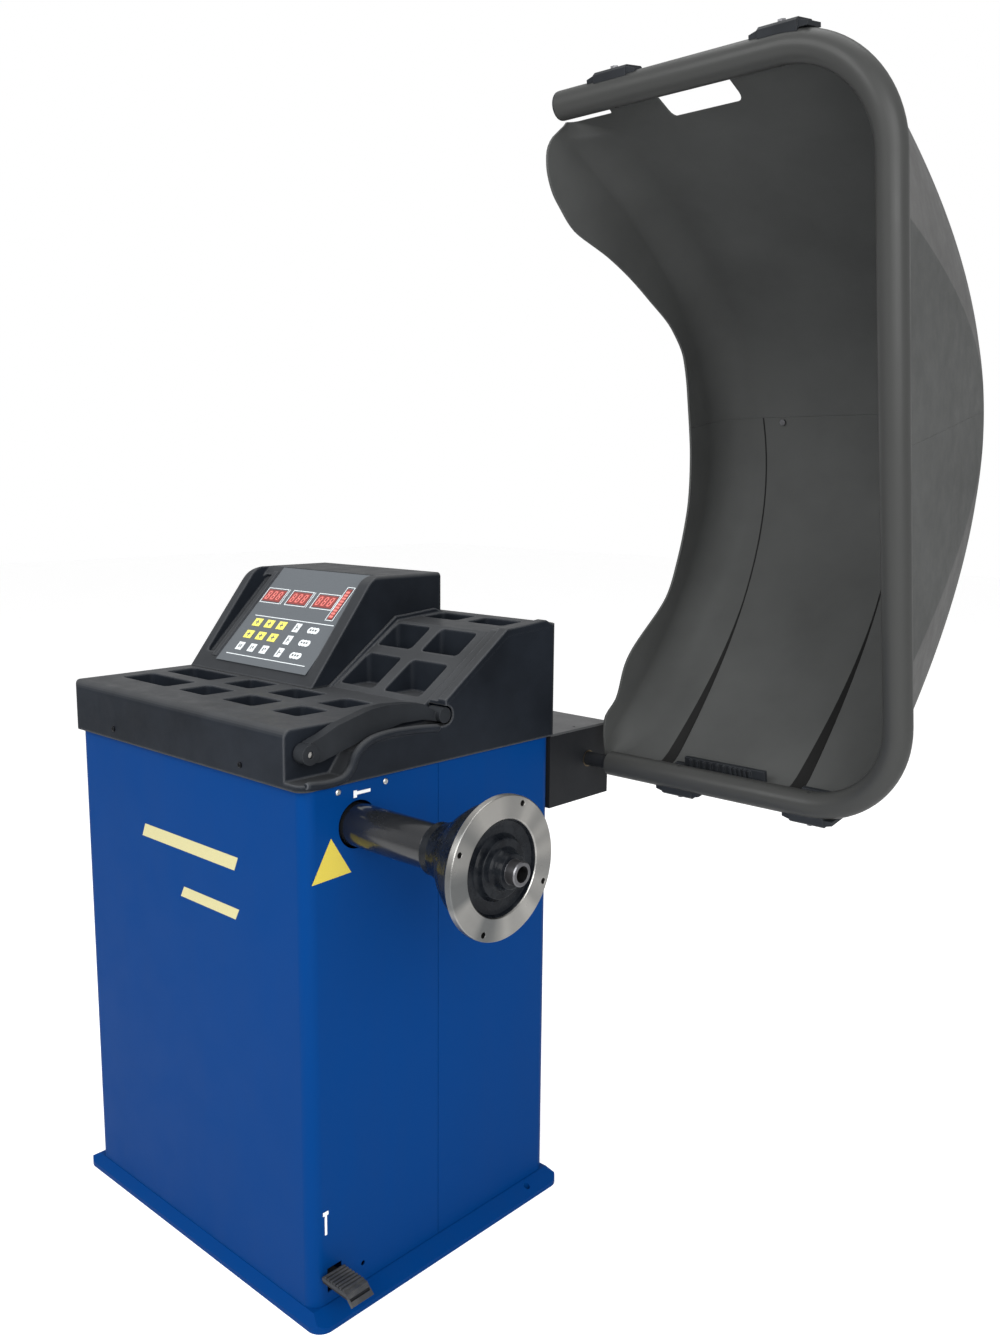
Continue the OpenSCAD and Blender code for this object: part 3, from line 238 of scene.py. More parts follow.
def blacken_in_front(material, front):
    """Makes a steel black in front of the row frame's Y = front."""
    tree = material.node_tree
    shader = next(node for node in tree.nodes if node.type == "BSDF_PRINCIPLED")
    split = add_node(tree, "ShaderNodeSeparateXYZ", Vector=place(tree))
    black = maths(tree, "LESS_THAN", split.outputs["Y"], front)
    colour = shader.inputs["Base Color"].links[0].from_socket
    tree.links.new(mix_colour(tree, black, colour, (0.012, 0.013, 0.015)),
                   shader.inputs["Base Color"])
    return material


def rubbery(name, colour, rough=0.7):
    """Rubber: dull, finely pitted, dusty in patches."""
    material, tree, shader = new_material(name)
    dust = remap(tree, noise(tree, 35.0, 6.0, 0.7), 0.45, 0.75, 0.0, 0.5)
    tree.links.new(mix_colour(tree, dust, colour, (0.10, 0.098, 0.095)),
                   shader.inputs["Base Color"])
    tree.links.new(remap(tree, noise(tree, 80.0, 4.0), 0.3, 0.7, rough - 0.08, rough + 0.12),
                   shader.inputs["Roughness"])
    bump(tree, shader, noise(tree, 1400.0, 2.0), 0.5, 0.00006)
    return material


def film(name, colour, rough=0.35, glow=0.0):
    """Printed film or lens: faint print grain, light scratches, optional glow."""
    material, tree, shader = new_material(name)
    grain = noise(tree, 900.0, 2.0)
    paler = tuple(min(1.0, c * 1.12) for c in colour)
    tone = mix_colour(tree, remap(tree, grain, 0.3, 0.7, 0.0, 1.0), colour, paler)
    tree.links.new(tone, shader.inputs["Base Color"])
    scratch_space = add_node(tree, "ShaderNodeMapping", Vector=place(tree),
                             Scale=(60.0, 900.0, 900.0)).outputs["Vector"]
    scratch = noise(tree, 1.0, 6.0, 0.75, scratch_space)
    tree.links.new(remap(tree, scratch, 0.35, 0.7, rough - 0.08, rough + 0.14),
                   shader.inputs["Roughness"])
    bump(tree, shader, scratch, 0.12, 0.00003)
    if glow:
        tree.links.new(tone, shader.inputs["Emission Color"])
        shader.inputs["Emission Strength"].default_value = glow
    return material


# ---------------------------------------------------------------- flange material

spindle_axis = Vector(joints["spindle_spin"]["pos_m"])


def flange_finish():
    """Machined ring with a painted radial sheen of paler and darker sectors; the flared back and the dished middle
    are oily black.
    """
    material, tree, shader = new_material("flange_finish")
    split = add_node(tree, "ShaderNodeSeparateXYZ", Vector=place(tree))
    across = maths(tree, "SUBTRACT", split.outputs["Y"], spindle_axis.y)
    height = maths(tree, "SUBTRACT", split.outputs["Z"], spindle_axis.z)
    radius = maths(tree, "SQRT", maths(tree, "ADD", maths(tree, "MULTIPLY", across, across),
                                       maths(tree, "MULTIPLY", height, height)))
    rim_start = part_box("wheel_flange")[1].x - 30.5 * MM
    on_ring = maths(tree, "MULTIPLY", maths(tree, "GREATER_THAN", radius, 65.4 * MM),
                    maths(tree, "GREATER_THAN", split.outputs["X"], rim_start))
    rings = add_node(tree, "ShaderNodeTexNoise", Scale=1.0, Detail=4.0)
    ring_space = add_node(tree, "ShaderNodeCombineXYZ", X=maths(tree, "MULTIPLY", radius, 2600.0))
    tree.links.new(ring_space.outputs["Vector"], rings.inputs["Vector"])
    # Painted sheen: the ring's steel colour turns paler and darker in broad sectors round the axis
    angle = maths(tree, "ARCTAN2", height, across)
    painted_sheen_space = add_node(tree, "ShaderNodeCombineXYZ", X=maths(tree, "SINE", angle),
                         Y=maths(tree, "COSINE", angle))
    painted_sheen = noise(tree, 1.3, 1.5, 0.5, painted_sheen_space.outputs["Vector"])
    smear = noise(tree, 30.0, 6.0, 0.7)
    steel = mix_colour(tree, remap(tree, painted_sheen, 0.38, 0.62, 0.0, 1.0), (0.15, 0.155, 0.155),
                       (0.40, 0.39, 0.37))
    black = mix_colour(tree, remap(tree, smear, 0.4, 0.65, 0.0, 1.0), (0.004, 0.005, 0.007),
                       (0.012, 0.014, 0.017))
    tree.links.new(mix_colour(tree, on_ring, black, steel), shader.inputs["Base Color"])
    tree.links.new(on_ring, shader.inputs["Metallic"])
    shader.inputs["Specular IOR Level"].default_value = 0.08
    dull = maths(tree, "ADD", remap(tree, on_ring, 0.0, 1.0, 0.24, 0.30),
                 remap(tree, smear, 0.3, 0.7, -0.06, 0.12))
    tree.links.new(dull, shader.inputs["Roughness"])
    tree.links.new(remap(tree, on_ring, 0.0, 1.0, 0.08, 0.0), shader.inputs["Coat Weight"])
    bump(tree, shader, rings.outputs["Fac"], 0.35, 0.00006)
    bump(tree, shader, smear, 0.2, 0.0002)
    return material


# ---------------------------------------------------------------- materials

BLUE = (0.0003, 0.036, 0.165)
MOULDING = (0.011, 0.0135, 0.018)
HOOD = (0.062, 0.064, 0.063)

finishes = {
    "blue_paint": painted("blue_paint", BLUE, 0.36, 0.0, dust=0.04, mirror=0.03),
    "black_moulding": moulded("black_moulding", MOULDING, 0.46, rubbed_and_lit=0.85, dust_and_top_light=0.42,
                              edge=0.006),
    "hood_plastic": moulded("hood_plastic", HOOD, 0.50, 700.0, 0.00006, 0.15, 0.08),
    # Pleat faces are darker: painted shade in the pleats' creases
    "hood_pleat_painted_shade": moulded("hood_pleat_painted_shade", (0.012, 0.012, 0.012), 0.6, 700.0, 0.00006, 0.0, 0.05),
    "hood_band": moulded("hood_band", (0.088, 0.088, 0.087), 0.5, 700.0, 0.00006, 0.1, 0.08),
    "tube_paint": painted("tube_paint", (0.034, 0.035, 0.034), 0.42, 0.05, 0.00005, 0.1, 0.0,
                          0.2),
    "frame_paint": painted("frame_paint", (0.010, 0.011, 0.013), 0.5, 0.0, 0.00006, 0.1, 0.0,
                           0.15),
    "cover_paint": painted("cover_paint", (0.060, 0.062, 0.065), 0.4, 0.1, 0.00006, 0.1, 0.0),
    "housing_paint": painted("housing_paint", (0.008, 0.009, 0.011), 0.22, 0.6, 0.0002, 0.2, 0.0),
    "machined_steel": machined("machined_steel", (0.55, 0.54, 0.52)),
    "flange_steel": flange_finish(),
    "zinc_plate": machined("zinc_plate", (0.62, 0.62, 0.60), 0.38, (60.0, 60.0, 60.0), 0.2),
    "spring_steel": machined("spring_steel", (0.30, 0.30, 0.31), 0.35, (90.0, 90.0, 90.0), 0.4),
    "cast_aluminium": machined("cast_aluminium", (0.62, 0.62, 0.63), 0.45, (30.0, 30.0, 30.0)),
    "bronze": machined("bronze", (0.14, 0.11, 0.07), 0.45, (300.0, 12.0, 12.0)),
    "dark_steel": machined("dark_steel", (0.17, 0.17, 0.18), 0.34),
    "motor_paint": painted("motor_paint", (0.05, 0.055, 0.065), 0.45, 0.1, 0.0001, 0.2, 0.0),
    "coil_core": painted("coil_core", (0.06, 0.045, 0.035), 0.5, 0.3, 0.0002, 0.2, 0.0),
    "brake_lining": rubbery("brake_lining", (0.11, 0.06, 0.035), 0.85),
    "rubber": rubbery("rubber", (0.022, 0.024, 0.028)),
    "black_plastic": moulded("black_plastic", (0.018, 0.020, 0.023), 0.42, 1100.0, 0.00005),
    "panel_film": film("panel_film", (0.085, 0.096, 0.107), 0.4),
    "led_red": film("led_red", (0.20, 0.035, 0.03), 0.16, 0.05),
    "led_lit": film("led_lit", (0.62, 0.16, 0.14), 0.2, 0.25),
    "mark_grey": film("mark_grey", (0.10, 0.11, 0.11), 0.5),
    "key_yellow": film("key_yellow", (0.78, 0.70, 0.13), 0.4),
    "key_white": film("key_white", (0.68, 0.72, 0.74), 0.4),
    "circuit_board": film("circuit_board", (0.02, 0.16, 0.06), 0.35),
    "white_plastic": film("white_plastic", (0.78, 0.79, 0.80), 0.3),
    "label_yellow": film("label_yellow", (0.50, 0.40, 0.04), 0.35),
    "label_cream": film("label_cream", (0.48, 0.44, 0.22), 0.4),
}

slot_of = {part["node"]: part["material_slot"] for part in frame["record"]["subparts"]}
skirt_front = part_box("weight_tray")[0].y
screw_finish = blacken_in_front(machined("screw_finish", (0.62, 0.62, 0.60), 0.38,
                                         (60.0, 60.0, 60.0), 0.2), skirt_front + 4 * MM)


def assign(obj, material):
    """Gives the whole object one material."""
    if not obj.material_slots:
        obj.data.materials.append(material)
    for slot in obj.material_slots:
        slot.link = "OBJECT"
        slot.material = material


# ---------------------------------------------------------------- edges of carried-over nodes

EDGE_WIDTH = {
    "base_plate": 1.2, "front_cover": 0.6, "rear_cover": 0.6, "console_housing": 3.5, "display_panel": 0.5, "yellow_keys": 0.4, "white_keys": 0.4,
    "led_windows": 0.4, "cover_screws": 0.4, "hinge_box": 1.5, "hinge_box_cover": 0.8,
    "gauge_arm": 3.0, "gauge_tip": 0.8, "wheel_flange": 0.6, "spindle_shaft": 0.5,
    "spindle_housing": 0.8, "hood_clamps": 2.0, "hood_bolts": 0.5, "brake_pedal": 1.0,
    "pedal_pad": 1.0, "panel_clips": 0.5, "mains_inlet": 1.0, "mains_rocker": 0.8,
    "frame_end_cap": 0.8,
}


def soften(obj, width):
    """Joins the node's split vertices and rounds its edges."""
    weld = obj.modifiers.new("weld", "WELD")
    weld.merge_threshold = 0.00001
    flat = obj.modifiers.new("flat", "DECIMATE")
    flat.decimate_type = "DISSOLVE"
    flat.angle_limit = math.radians(0.6)
    rounding = obj.modifiers.new("rounding", "BEVEL")
    rounding.width = width * MM
    rounding.segments = 3
    rounding.limit_method = "ANGLE"
    rounding.angle_limit = math.radians(28)
    rounding.use_clamp_overlap = True
    split = obj.modifiers.new("split", "EDGE_SPLIT")
    split.split_angle = math.radians(27)
    normals = obj.modifiers.new("normals", "WEIGHTED_NORMAL")
    normals.weight = 100


special = {"cover_screws": screw_finish, "hood_bolts": finishes["dark_steel"]}
def smooth_sheet(obj):
    """Joins the node's split vertices and shades its flat faces flat."""
    weld = obj.modifiers.new("weld", "WELD")
    weld.merge_threshold = 0.00001
    flat = obj.modifiers.new("flat", "DECIMATE")
    flat.decimate_type = "DISSOLVE"
    flat.angle_limit = math.radians(0.6)
    split = obj.modifiers.new("split", "EDGE_SPLIT")
    split.split_angle = math.radians(27)


for name, obj in nodes.items():
    assign(obj, special.get(name, finishes[slot_of[name]]))
    if name in EDGE_WIDTH:
        soften(obj, EDGE_WIDTH[name])
smooth_sheet(nodes["weight_tray"])

# ---------------------------------------------------------------- hood geometry

hood_pivot = Vector(joints["hood_swing"]["pos_m"])
HOOD_LEAN = math.radians(9.5)
FRAME_H = 1070 * MM
MIDDLE_V = FRAME_H / 2
HOOD_DEPTH = 472 * MM
RIM_DEPTH = 39 * MM
SHEET = 4 * MM
LEFT_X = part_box("hood_lower_shell")[0].x
BAND_X = 827 * MM
BAND_SLOPE = 0.215
WALL_X = 893 * MM
WALL_SLOPE = math.tan(math.radians(8))
RIM_U = 23 * MM
RIM_START, RIM_TURN, RIM_REACH = 2 * MM, 16 * MM, 10 * MM
BEND_R = 150 * MM
TUBE_X = 894 * MM
SEAM_V = FRAME_H / 2 + 8 * MM
PLEATS = ((466, 0.09), (716, 0.05))


def hood_point(x, u, v):
    """Row frame position of a point given behind the hood's frame (u) and along it (v)."""
    c, s = math.cos(HOOD_LEAN), math.sin(HOOD_LEAN)
    return Vector((x, hood_pivot.y + u * c - v * s, hood_pivot.z + u * s + v * c))


def back_depth(v):
    """Depth of the hood's back behind the frame."""
    share = (v - MIDDLE_V) / MIDDLE_V
    return HOOD_DEPTH - (HOOD_DEPTH - RIM_DEPTH) * share * share


def rim_turn(v):
    """How far the skin turns in towards the tube at the two ends of the frame."""
    near = min(v, FRAME_H - v) - RIM_START
    return RIM_TURN * max(0.0, 1 - near / RIM_REACH) ** 2


def slope_at(points, k):
    """Slope of the curve at point k: the harmonic mean of the slopes beside it, or level."""
    if k == 0 or k == len(points) - 1:
        return 0.0
    (p0, q0), (p1, q1), (p2, q2) = points[k - 1:k + 2]
    before, after = (q1 - q0) / (p1 - p0), (q2 - q1) / (p2 - p1)
    return 2 * before * after / (before + after) if before * after > 0 else 0.0


def smooth_through(points, at):
    """Value at a place on a smooth curve through a list of (place, value)."""
    for k, ((p0, q0), (p1, q1)) in enumerate(zip(points, points[1:])):
        if at <= p1:
            gap = p1 - p0
            t = min(1.0, max(0.0, (at - p0) / gap))
            ease = t * t * (3 - 2 * t)
            bend = t * (1 - t) * gap
            return (q0 + (q1 - q0) * ease + bend * (1 - t) * slope_at(points, k)
                    - bend * t * slope_at(points, k + 1))
    return points[-1][1]


# Free edge of the left wall as (v, u) in millimetres: lower corner, wheel cut-out, upper lobe
FREE_EDGE = [(0, 15), (35, 15), (76, 23), (97, 58), (150, 90), (168, 107), (249, 237),
             (300, 273), (358, 304), (412, 325), (466, 336), (512, 341), (557, 342), (612, 342),
             (666, 337), (722, 305), (777, 240), (815, 190), (853, 129), (872, 90), (891, 52),
             (905, 36), (925, 20), (955, 0), (987, -7), (1010, -4), (1030, 10), (1047, 38),
             (1054, 52)]


def free_edge(v):
    """Front edge of the left wall, u at a place v, with its corners eased."""
    reach = 6
    total = 0.0
    for k in range(-2, 3):
        total += smooth_through(FREE_EDGE, v / MM + k * reach / 2)
    return total / 5 * MM


def frame_edge_x(v):
    """Right-hand limit of the skin: the centre line of the frame's tube."""
    out = max(0.0, BEND_R - v, v - (FRAME_H - BEND_R))
    return TUBE_X - BEND_R + math.sqrt(max(0.0, BEND_R ** 2 - out ** 2))


def pleat_line(v, start, lean):
    """X of a pleat in the lower shell's back."""
    return (start - lean * v / MM) * MM


def pleat_size(v, biggest, smallest):
    """Size of a pleat, which tapers up from the rim to a fine line."""
    share = max(0.0, 1 - v / (230 * MM)) ** 1.6
    return (smallest + (biggest - smallest) * share) * MM


# Kinds of skin strip; PLEAT strips carry the painted shade of the pleats
PLAIN, PLEAT, BAND = 0, 1, 2


def hood_section(v, pleats, skin):
    """Points (x, u, kind of the strip that ends here) of the skin at v, left to right.

    The skin's inner face has skin 0 and its outer face lies further out."""
    slope = 2 * (HOOD_DEPTH - RIM_DEPTH) * (v - MIDDLE_V) / MIDDLE_V ** 2
    depth = back_depth(v) - rim_turn(v)
    front = min(free_edge(v), depth - 4 * MM)
    corner = min(66 * MM, 0.75 * (depth - front) + 4 * MM)
    first = math.asin(max(0.0, min(1.0, (front - depth + corner) / corner)))
    wall_end = max(front, depth - corner)
    rise = skin * math.sqrt(1 + slope * slope)
    points = [(LEFT_X - skin, front + (wall_end - front) * i / 6, PLAIN) for i in range(7)]
    for i in range(1, 13):
        turn = first + (math.pi / 2 - first) * i / 12
        points.append((LEFT_X + corner - (corner + skin) * math.cos(turn),
                       depth - corner + (corner + rise) * math.sin(turn), PLAIN))
    right = min(BAND_X, frame_edge_x(v) + 6 * MM) - 8 * MM
    stops = [(LEFT_X + corner, 0.0, 1, PLAIN)]
    if pleats:
        drop = pleat_size(v, 15, 1.6) * min(1.0, (v / MM + 4) / 40)
        for start, lean in PLEATS:
            line = min(pleat_line(v, start, lean), right - 3 * MM)
            width = pleat_size(v, 24, 2.0)
            stops += [(line - width - 1.5 * MM, 0.0, 6, PLAIN), (line - width, 0.0, 1, PLAIN),
                      (line, drop, 2, PLEAT), (line + 1.2 * MM, 0.0, 1, PLEAT)]
    stops.append((right, 0.0, 8, PLAIN))
    for (x0, sink0, _, _), (x1, sink1, parts, kind) in zip(stops, stops[1:]):
        for k in range(1, parts + 1):
            share = k / parts
            points.append((x0 + (x1 - x0) * share,
                           depth + rise + sink0 + (sink1 - sink0) * share, kind))
    meet = (BAND_X + BAND_SLOPE * depth - WALL_X) / (BAND_SLOPE - WALL_SLOPE)
    meet = max(RIM_U, min(depth - 3 * MM, meet))
    limit = frame_edge_x(v) + 6 * MM + skin
    points.append((min(BAND_X + skin * 0.5, limit), depth + rise - 3 * MM, PLAIN))
    for i in range(1, 7):
        u = depth - 3 * MM + (meet - depth + 3 * MM) * i / 6
        points.append((min(BAND_X + BAND_SLOPE * (depth - u) + skin, limit), u, BAND))
    for i in range(1, 9):
        u = meet + (RIM_U - meet) * i / 8
        x = WALL_X - WALL_SLOPE * u if meet > RIM_U else BAND_X + BAND_SLOPE * (depth - u)
        points.append((min(x + skin, limit), u, PLAIN))
    return points


def mesh_object(name, vertices, faces):
    """A linked object from plain lists."""
    mesh = bpy.data.meshes.new(name)
    mesh.from_pydata([tuple(v) for v in vertices], [], faces)
    mesh.validate()
    obj = bpy.data.objects.new(name, mesh)
    bpy.context.scene.collection.objects.link(obj)
    return obj


def clean(obj, distance=0.0002):
    """Removes doubled points and empty faces, and makes all faces look outwards."""
    data = bmesh.new()
    data.from_mesh(obj.data)
    bmesh.ops.remove_doubles(data, verts=data.verts, dist=distance)
    bmesh.ops.dissolve_degenerate(data, edges=data.edges, dist=distance / 2)
    bmesh.ops.recalc_face_normals(data, faces=data.faces)
    data.to_mesh(obj.data)
    data.free()


def apply_modifiers(obj):
    """Bakes the object's modifiers into its mesh."""
    graph = bpy.context.evaluated_depsgraph_get()
    mesh = bpy.data.meshes.new_from_object(obj.evaluated_get(graph), depsgraph=graph)
    obj.modifiers.clear()
    obj.data = mesh


def hood_skin(name, rows, pleats, inner=0.0, outer=SHEET, first=0, last=None):
    """Sheet between two offsets of the hood's form, closed round its edges."""
    vertices = []
    for skin in (inner, outer):
        for v in rows:
            vertices += [hood_point(x, u, v)
                         for x, u, _ in hood_section(v, pleats, skin)[first:last]]
    kinds = [kind for _, _, kind in hood_section(rows[0], pleats, inner)[first:last]]
    width = len(kinds)
    count = len(rows)
    back = width * count
    faces, face_kinds = [], []
    for i in range(count - 1):
        for k in range(width - 1):
            a = i * width + k
            faces.append((a, a + width, a + width + 1, a + 1))
            faces.append((back + a, back + a + 1, back + a + width + 1, back + a + width))
            face_kinds += [PLEAT if kinds[k + 1] == PLEAT else PLAIN,
                           BAND if kinds[k + 1] == BAND else PLAIN]
    for k in range(width - 1):
        top = (count - 1) * width + k
        faces.append((k, k + 1, back + k + 1, back + k))
        faces.append((top, back + top, back + top + 1, top + 1))
    for i in range(count - 1):
        left, right = i * width, (i + 1) * width - 1
        faces.append((left, back + left, back + left + width, left + width))
        faces.append((right, right + width, back + right + width, back + right))
    obj = mesh_object(name, vertices, faces)
    for polygon, kind in zip(obj.data.polygons, face_kinds):
        polygon.material_index = kind
    clean(obj, 0.00005)
    return obj


def join(target, *others):
    """Adds other objects' meshes to the target and removes those objects."""
    data = bmesh.new()
    data.from_mesh(target.data)
    for other in others:
        data.from_mesh(other.data)
        bpy.data.objects.remove(other)
    data.to_mesh(target.data)
    data.free()


def finish_piece(obj, node_names, body, slot_name, bevel=0.0, angle=35):
    """Material from the slot's finish, edge rounding, smooth shading and body of a new piece."""
    if not obj.data.materials:
        assign(obj, finishes[slot_name])
    for polygon in obj.data.polygons:
        polygon.use_smooth = True
    if bevel:
        rounding = obj.modifiers.new("rounding", "BEVEL")
        rounding.width = bevel * MM
        rounding.segments = 2
        rounding.limit_method = "ANGLE"
        rounding.angle_limit = math.radians(angle)
    normals = obj.modifiers.new("normals", "WEIGHTED_NORMAL")
    normals.weight = 60
    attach(obj, body)
    if node_names:
        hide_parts(*node_names)


def box_cutter(name, low, high, corner=0.0):
    """Block in the hood's own frame (x, u, v), with rounded corners in the x-v plane."""
    outline = []
    for cx, cv, start in ((high[0] - corner, high[2] - corner, 0),
                          (low[0] + corner, high[2] - corner, 90),
                          (low[0] + corner, low[2] + corner, 180),
                          (high[0] - corner, low[2] + corner, 270)):
        for i in range(5):
            turn = math.radians(start + 22.5 * i)
            outline.append((cx + corner * math.cos(turn), cv + corner * math.sin(turn)))
    vertices = [hood_point(x * MM, u * MM, v * MM) for u in (low[1], high[1])
                for x, v in outline]
    count = len(outline)
    faces = [tuple(range(count)), tuple(range(2 * count - 1, count - 1, -1))]
    faces += [(i, count + i, count + (i + 1) % count, (i + 1) % count) for i in range(count)]
    cutter = mesh_object(name, vertices, faces)
    clean(cutter)
    return cutter


def cut(obj, cutter):
    """Takes the cutter's volume out of the object and removes the cutter."""
    step = obj.modifiers.new("cut", "BOOLEAN")
    step.operation = "DIFFERENCE"
    step.solver = "EXACT"
    step.object = cutter
    bpy.context.view_layer.update()
    apply_modifiers(obj)
    bpy.data.objects.remove(cutter)


def hood_materials(obj):
    """Plain sheet, painted shade on the pleats' faces and the paler outer band."""
    for name in ("hood_plastic", "hood_pleat_painted_shade", "hood_band"):
        obj.data.materials.append(finishes[name])


row_step = 7 * MM
SEAM_LAP = 20 * MM
LAP_OUT = SHEET + 2.4 * MM
lower_rows = [2 * MM] + [i * row_step for i in range(1, 78)] + [SEAM_V - 0.1 * MM]
upper_rows = [SEAM_V + 0.1 * MM] + [SEAM_V + i * row_step for i in range(1, 71)]
upper_rows += [v * MM for v in (1045, 1049, 1054, 1059, 1064, 1068)]
lower_skin = hood_skin("hood_lower_moulding", lower_rows, True)
hood_materials(lower_skin)
cut(lower_skin, box_cutter("low_notch", (510, -20, -20), (644, 60, 12), 6))
finish_piece(lower_skin, ["hood_lower_shell"], "hood", "hood_plastic", 0.8, 60)
upper_skin = hood_skin("hood_upper_moulding", upper_rows, False)
hood_materials(upper_skin)
cut(upper_skin, box_cutter("top_notch", (505, -20, 1035), (630, 120, 1100), 9))
cut(upper_skin, box_cutter("corner_notch", (300, -60, 1055), (418, 160, 1120), 3))
step_rows = [SEAM_V + 0.1 * MM, SEAM_V + 8 * MM]
lap_rows = [SEAM_V - SEAM_LAP, SEAM_V - 10 * MM, SEAM_V, SEAM_V + 8 * MM]
join(upper_skin, hood_skin("step", step_rows, False, SHEET - 1 * MM, LAP_OUT, 5, -15),
     hood_skin("lap", lap_rows, False, SHEET + 0.1 * MM, LAP_OUT, 5, -15))
finish_piece(upper_skin, ["hood_upper_shell"], "hood", "hood_plastic", 0.8, 60)

# ---------------------------------------------------------------- small moulded details


def box_mesh(low, high, place_point=None):
    """Vertices and faces of a block; place_point maps local to row coordinates."""
    corners = [(x, y, z) for x in (low[0], high[0]) for y in (low[1], high[1])
               for z in (low[2], high[2])]
    if place_point:
        corners = [place_point(*corner) for corner in corners]
    faces = [(0, 1, 3, 2), (4, 6, 7, 5), (0, 4, 5, 1), (2, 3, 7, 6), (0, 2, 6, 4), (1, 5, 7, 3)]
    return corners, faces


def prism_mesh(outline, depth, place_point):
    """Vertices and faces of an outline [(a, b)] drawn out over a depth range."""
    count = len(outline)
    vertices = [place_point(a, b, c) for c in depth for a, b in outline]
    faces = [tuple(range(count)), tuple(range(2 * count - 1, count - 1, -1))]
    faces += [(i, count + i, count + (i + 1) % count, (i + 1) % count) for i in range(count)]
    return vertices, faces


def gather(name, shapes):
    """One object out of several closed shapes."""
    vertices, faces = [], []
    for points, shape_faces in shapes:
        start = len(vertices)
        vertices += points
        faces += [tuple(start + i for i in face) for face in shape_faces]
    obj = mesh_object(name, vertices, faces)
    clean(obj, 0.000001)
    return obj


def hood_mm(x, u, v):
    """hood_point for millimetres."""
    return hood_point(x * MM, u * MM, v * MM)


# Dark ribbed grip in the lower notch of the hood
grip_shapes = [box_mesh((501, 26, -2), (655, 34, 27), hood_mm)]
grip_shapes += [box_mesh((512 + 13 * i, 22, 2), (517 + 13 * i, 27, 25), hood_mm)
                for i in range(6)]
for i in range(5):
    top = 600 + 9 * i
    outline = [(592 + 9 * i, 2), (597 + 9 * i, 2), (top - 6, 25), (top - 11, 25)]
    grip_shapes.append(prism_mesh(outline, (22, 27), lambda a, b, c: hood_mm(a, c, b)))
grip = gather("hood_grip", grip_shapes)
finish_piece(grip, [], "hood", "black_plastic", 0.8)


def smooth_path(points, steps):
    """Catmull-Rom curve through points, with extra points between each pair."""
    path = []
    ends = [points[0]] + points + [points[-1]]
    for k in range(1, len(ends) - 2):
        a, b, c, d = (Vector(p) for p in ends[k - 1:k + 3])
        for i in range(steps):
            t = i / steps
            path.append(0.5 * (2 * b + (c - a) * t + (2 * a - 5 * b + 4 * c - d) * t ** 2
                               + (3 * b - a - 3 * c + d) * t ** 3))
    path.append(Vector(points[-1]))
    return path


def swept_tube(name, path, radius, sides=16):
    """Round bar along a path, with tapered ends."""
    vertices, faces = [], []
    count = len(path)
    for i, point in enumerate(path):
        ahead = path[min(i + 1, count - 1)] - path[max(i - 1, 0)]
        turn = ahead.to_track_quat("Z", "Y")
        end_share = min(1.0, (min(i, count - 1 - i) + 0.6) / 3)
        size = radius * math.sqrt(1 - (1 - end_share) ** 2)
        for k in range(sides):
            angle = 2 * math.pi * k / sides
            vertices.append(point + turn @ Vector((size * math.cos(angle),
                                                   size * math.sin(angle), 0)))
    for i in range(count - 1):
        for k in range(sides):
            a, b = i * sides + k, i * sides + (k + 1) % sides
            faces.append((a, b, b + sides, a + sides))
    faces += [tuple(range(sides))[::-1], tuple((count - 1) * sides + k for k in range(sides))]
    obj = mesh_object(name, vertices, faces)
    clean(obj, 0.000001)
    return obj


# Thick rounded lip under the gauge arm's recess, on the tray's right-hand side
LIP_POINTS = [(-268, 842), (-235, 838), (-203, 840), (-186, 852), (-173, 874), (-150, 888),
              (-115, 893), (-70, 892), (-30, 889), (-8, 886)]
tray_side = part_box("weight_tray")[1].x
lip_path = smooth_path([(tray_side - 1 * MM, y * MM, z * MM) for y, z in LIP_POINTS], 6)
lip = swept_tube("recess_lip", lip_path, 6.5 * MM)
finish_piece(lip, [], "cabinet", "black_moulding")

# Pedal spring as a fixed coil of wire; the real one shortens as the brake rod rises under it
spring_low, spring_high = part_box("pedal_spring")
spring_centre = (spring_low + spring_high) / 2
WIRE_R = 1.5 * MM
SPRING_TURNS = 5
TURN_STEPS = 20
coil_r = (spring_high.x - spring_low.x) / 2 - WIRE_R
coil_path = []
for i in range(SPRING_TURNS * TURN_STEPS + 1):
    angle = 2 * math.pi * i / TURN_STEPS
    rise = (spring_high.z - spring_low.z - 2 * WIRE_R) * i / (SPRING_TURNS * TURN_STEPS)
    coil_path.append(Vector((spring_centre.x + coil_r * math.cos(angle),
                             spring_centre.y + coil_r * math.sin(angle),
                             spring_low.z + WIRE_R + rise)))
pedal_coil = swept_tube("pedal_coil", coil_path, WIRE_R, 10)
finish_piece(pedal_coil, ["pedal_spring"], "cabinet", "spring_steel")
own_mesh(pedal_coil)

# ---------------------------------------------------------------- display details

PANEL_FOOT = Vector((0, -40 * MM, 925 * MM))
PANEL_TOP = 1.52
SLOPE_ALONG = Vector((0, 1, 1)).normalized()
SLOPE_OUT = Vector((0, -1, 1)).normalized()


def panel_mm(x, along, out):
    """Row point from millimetres across, up and off the sloping panel's base plane."""
    return (PANEL_FOOT + Vector((x * MM, 0, 0)) + SLOPE_ALONG * (along * MM)
            + SLOPE_OUT * (out * MM))


def frame_shapes(x0, x1, s0, s1, line, out):
    """Four thin bars round a rectangle on the panel."""
    bars = [((x0, s0), (x1, s0 + line)), ((x0, s1 - line), (x1, s1)),
            ((x0, s0 + line), (x0 + line, s1 - line)), ((x1 - line, s0 + line), (x1, s1 - line))]
    return [box_mesh((a[0], a[1], out[0]), (b[0], b[1], out[1]), panel_mm) for a, b in bars]


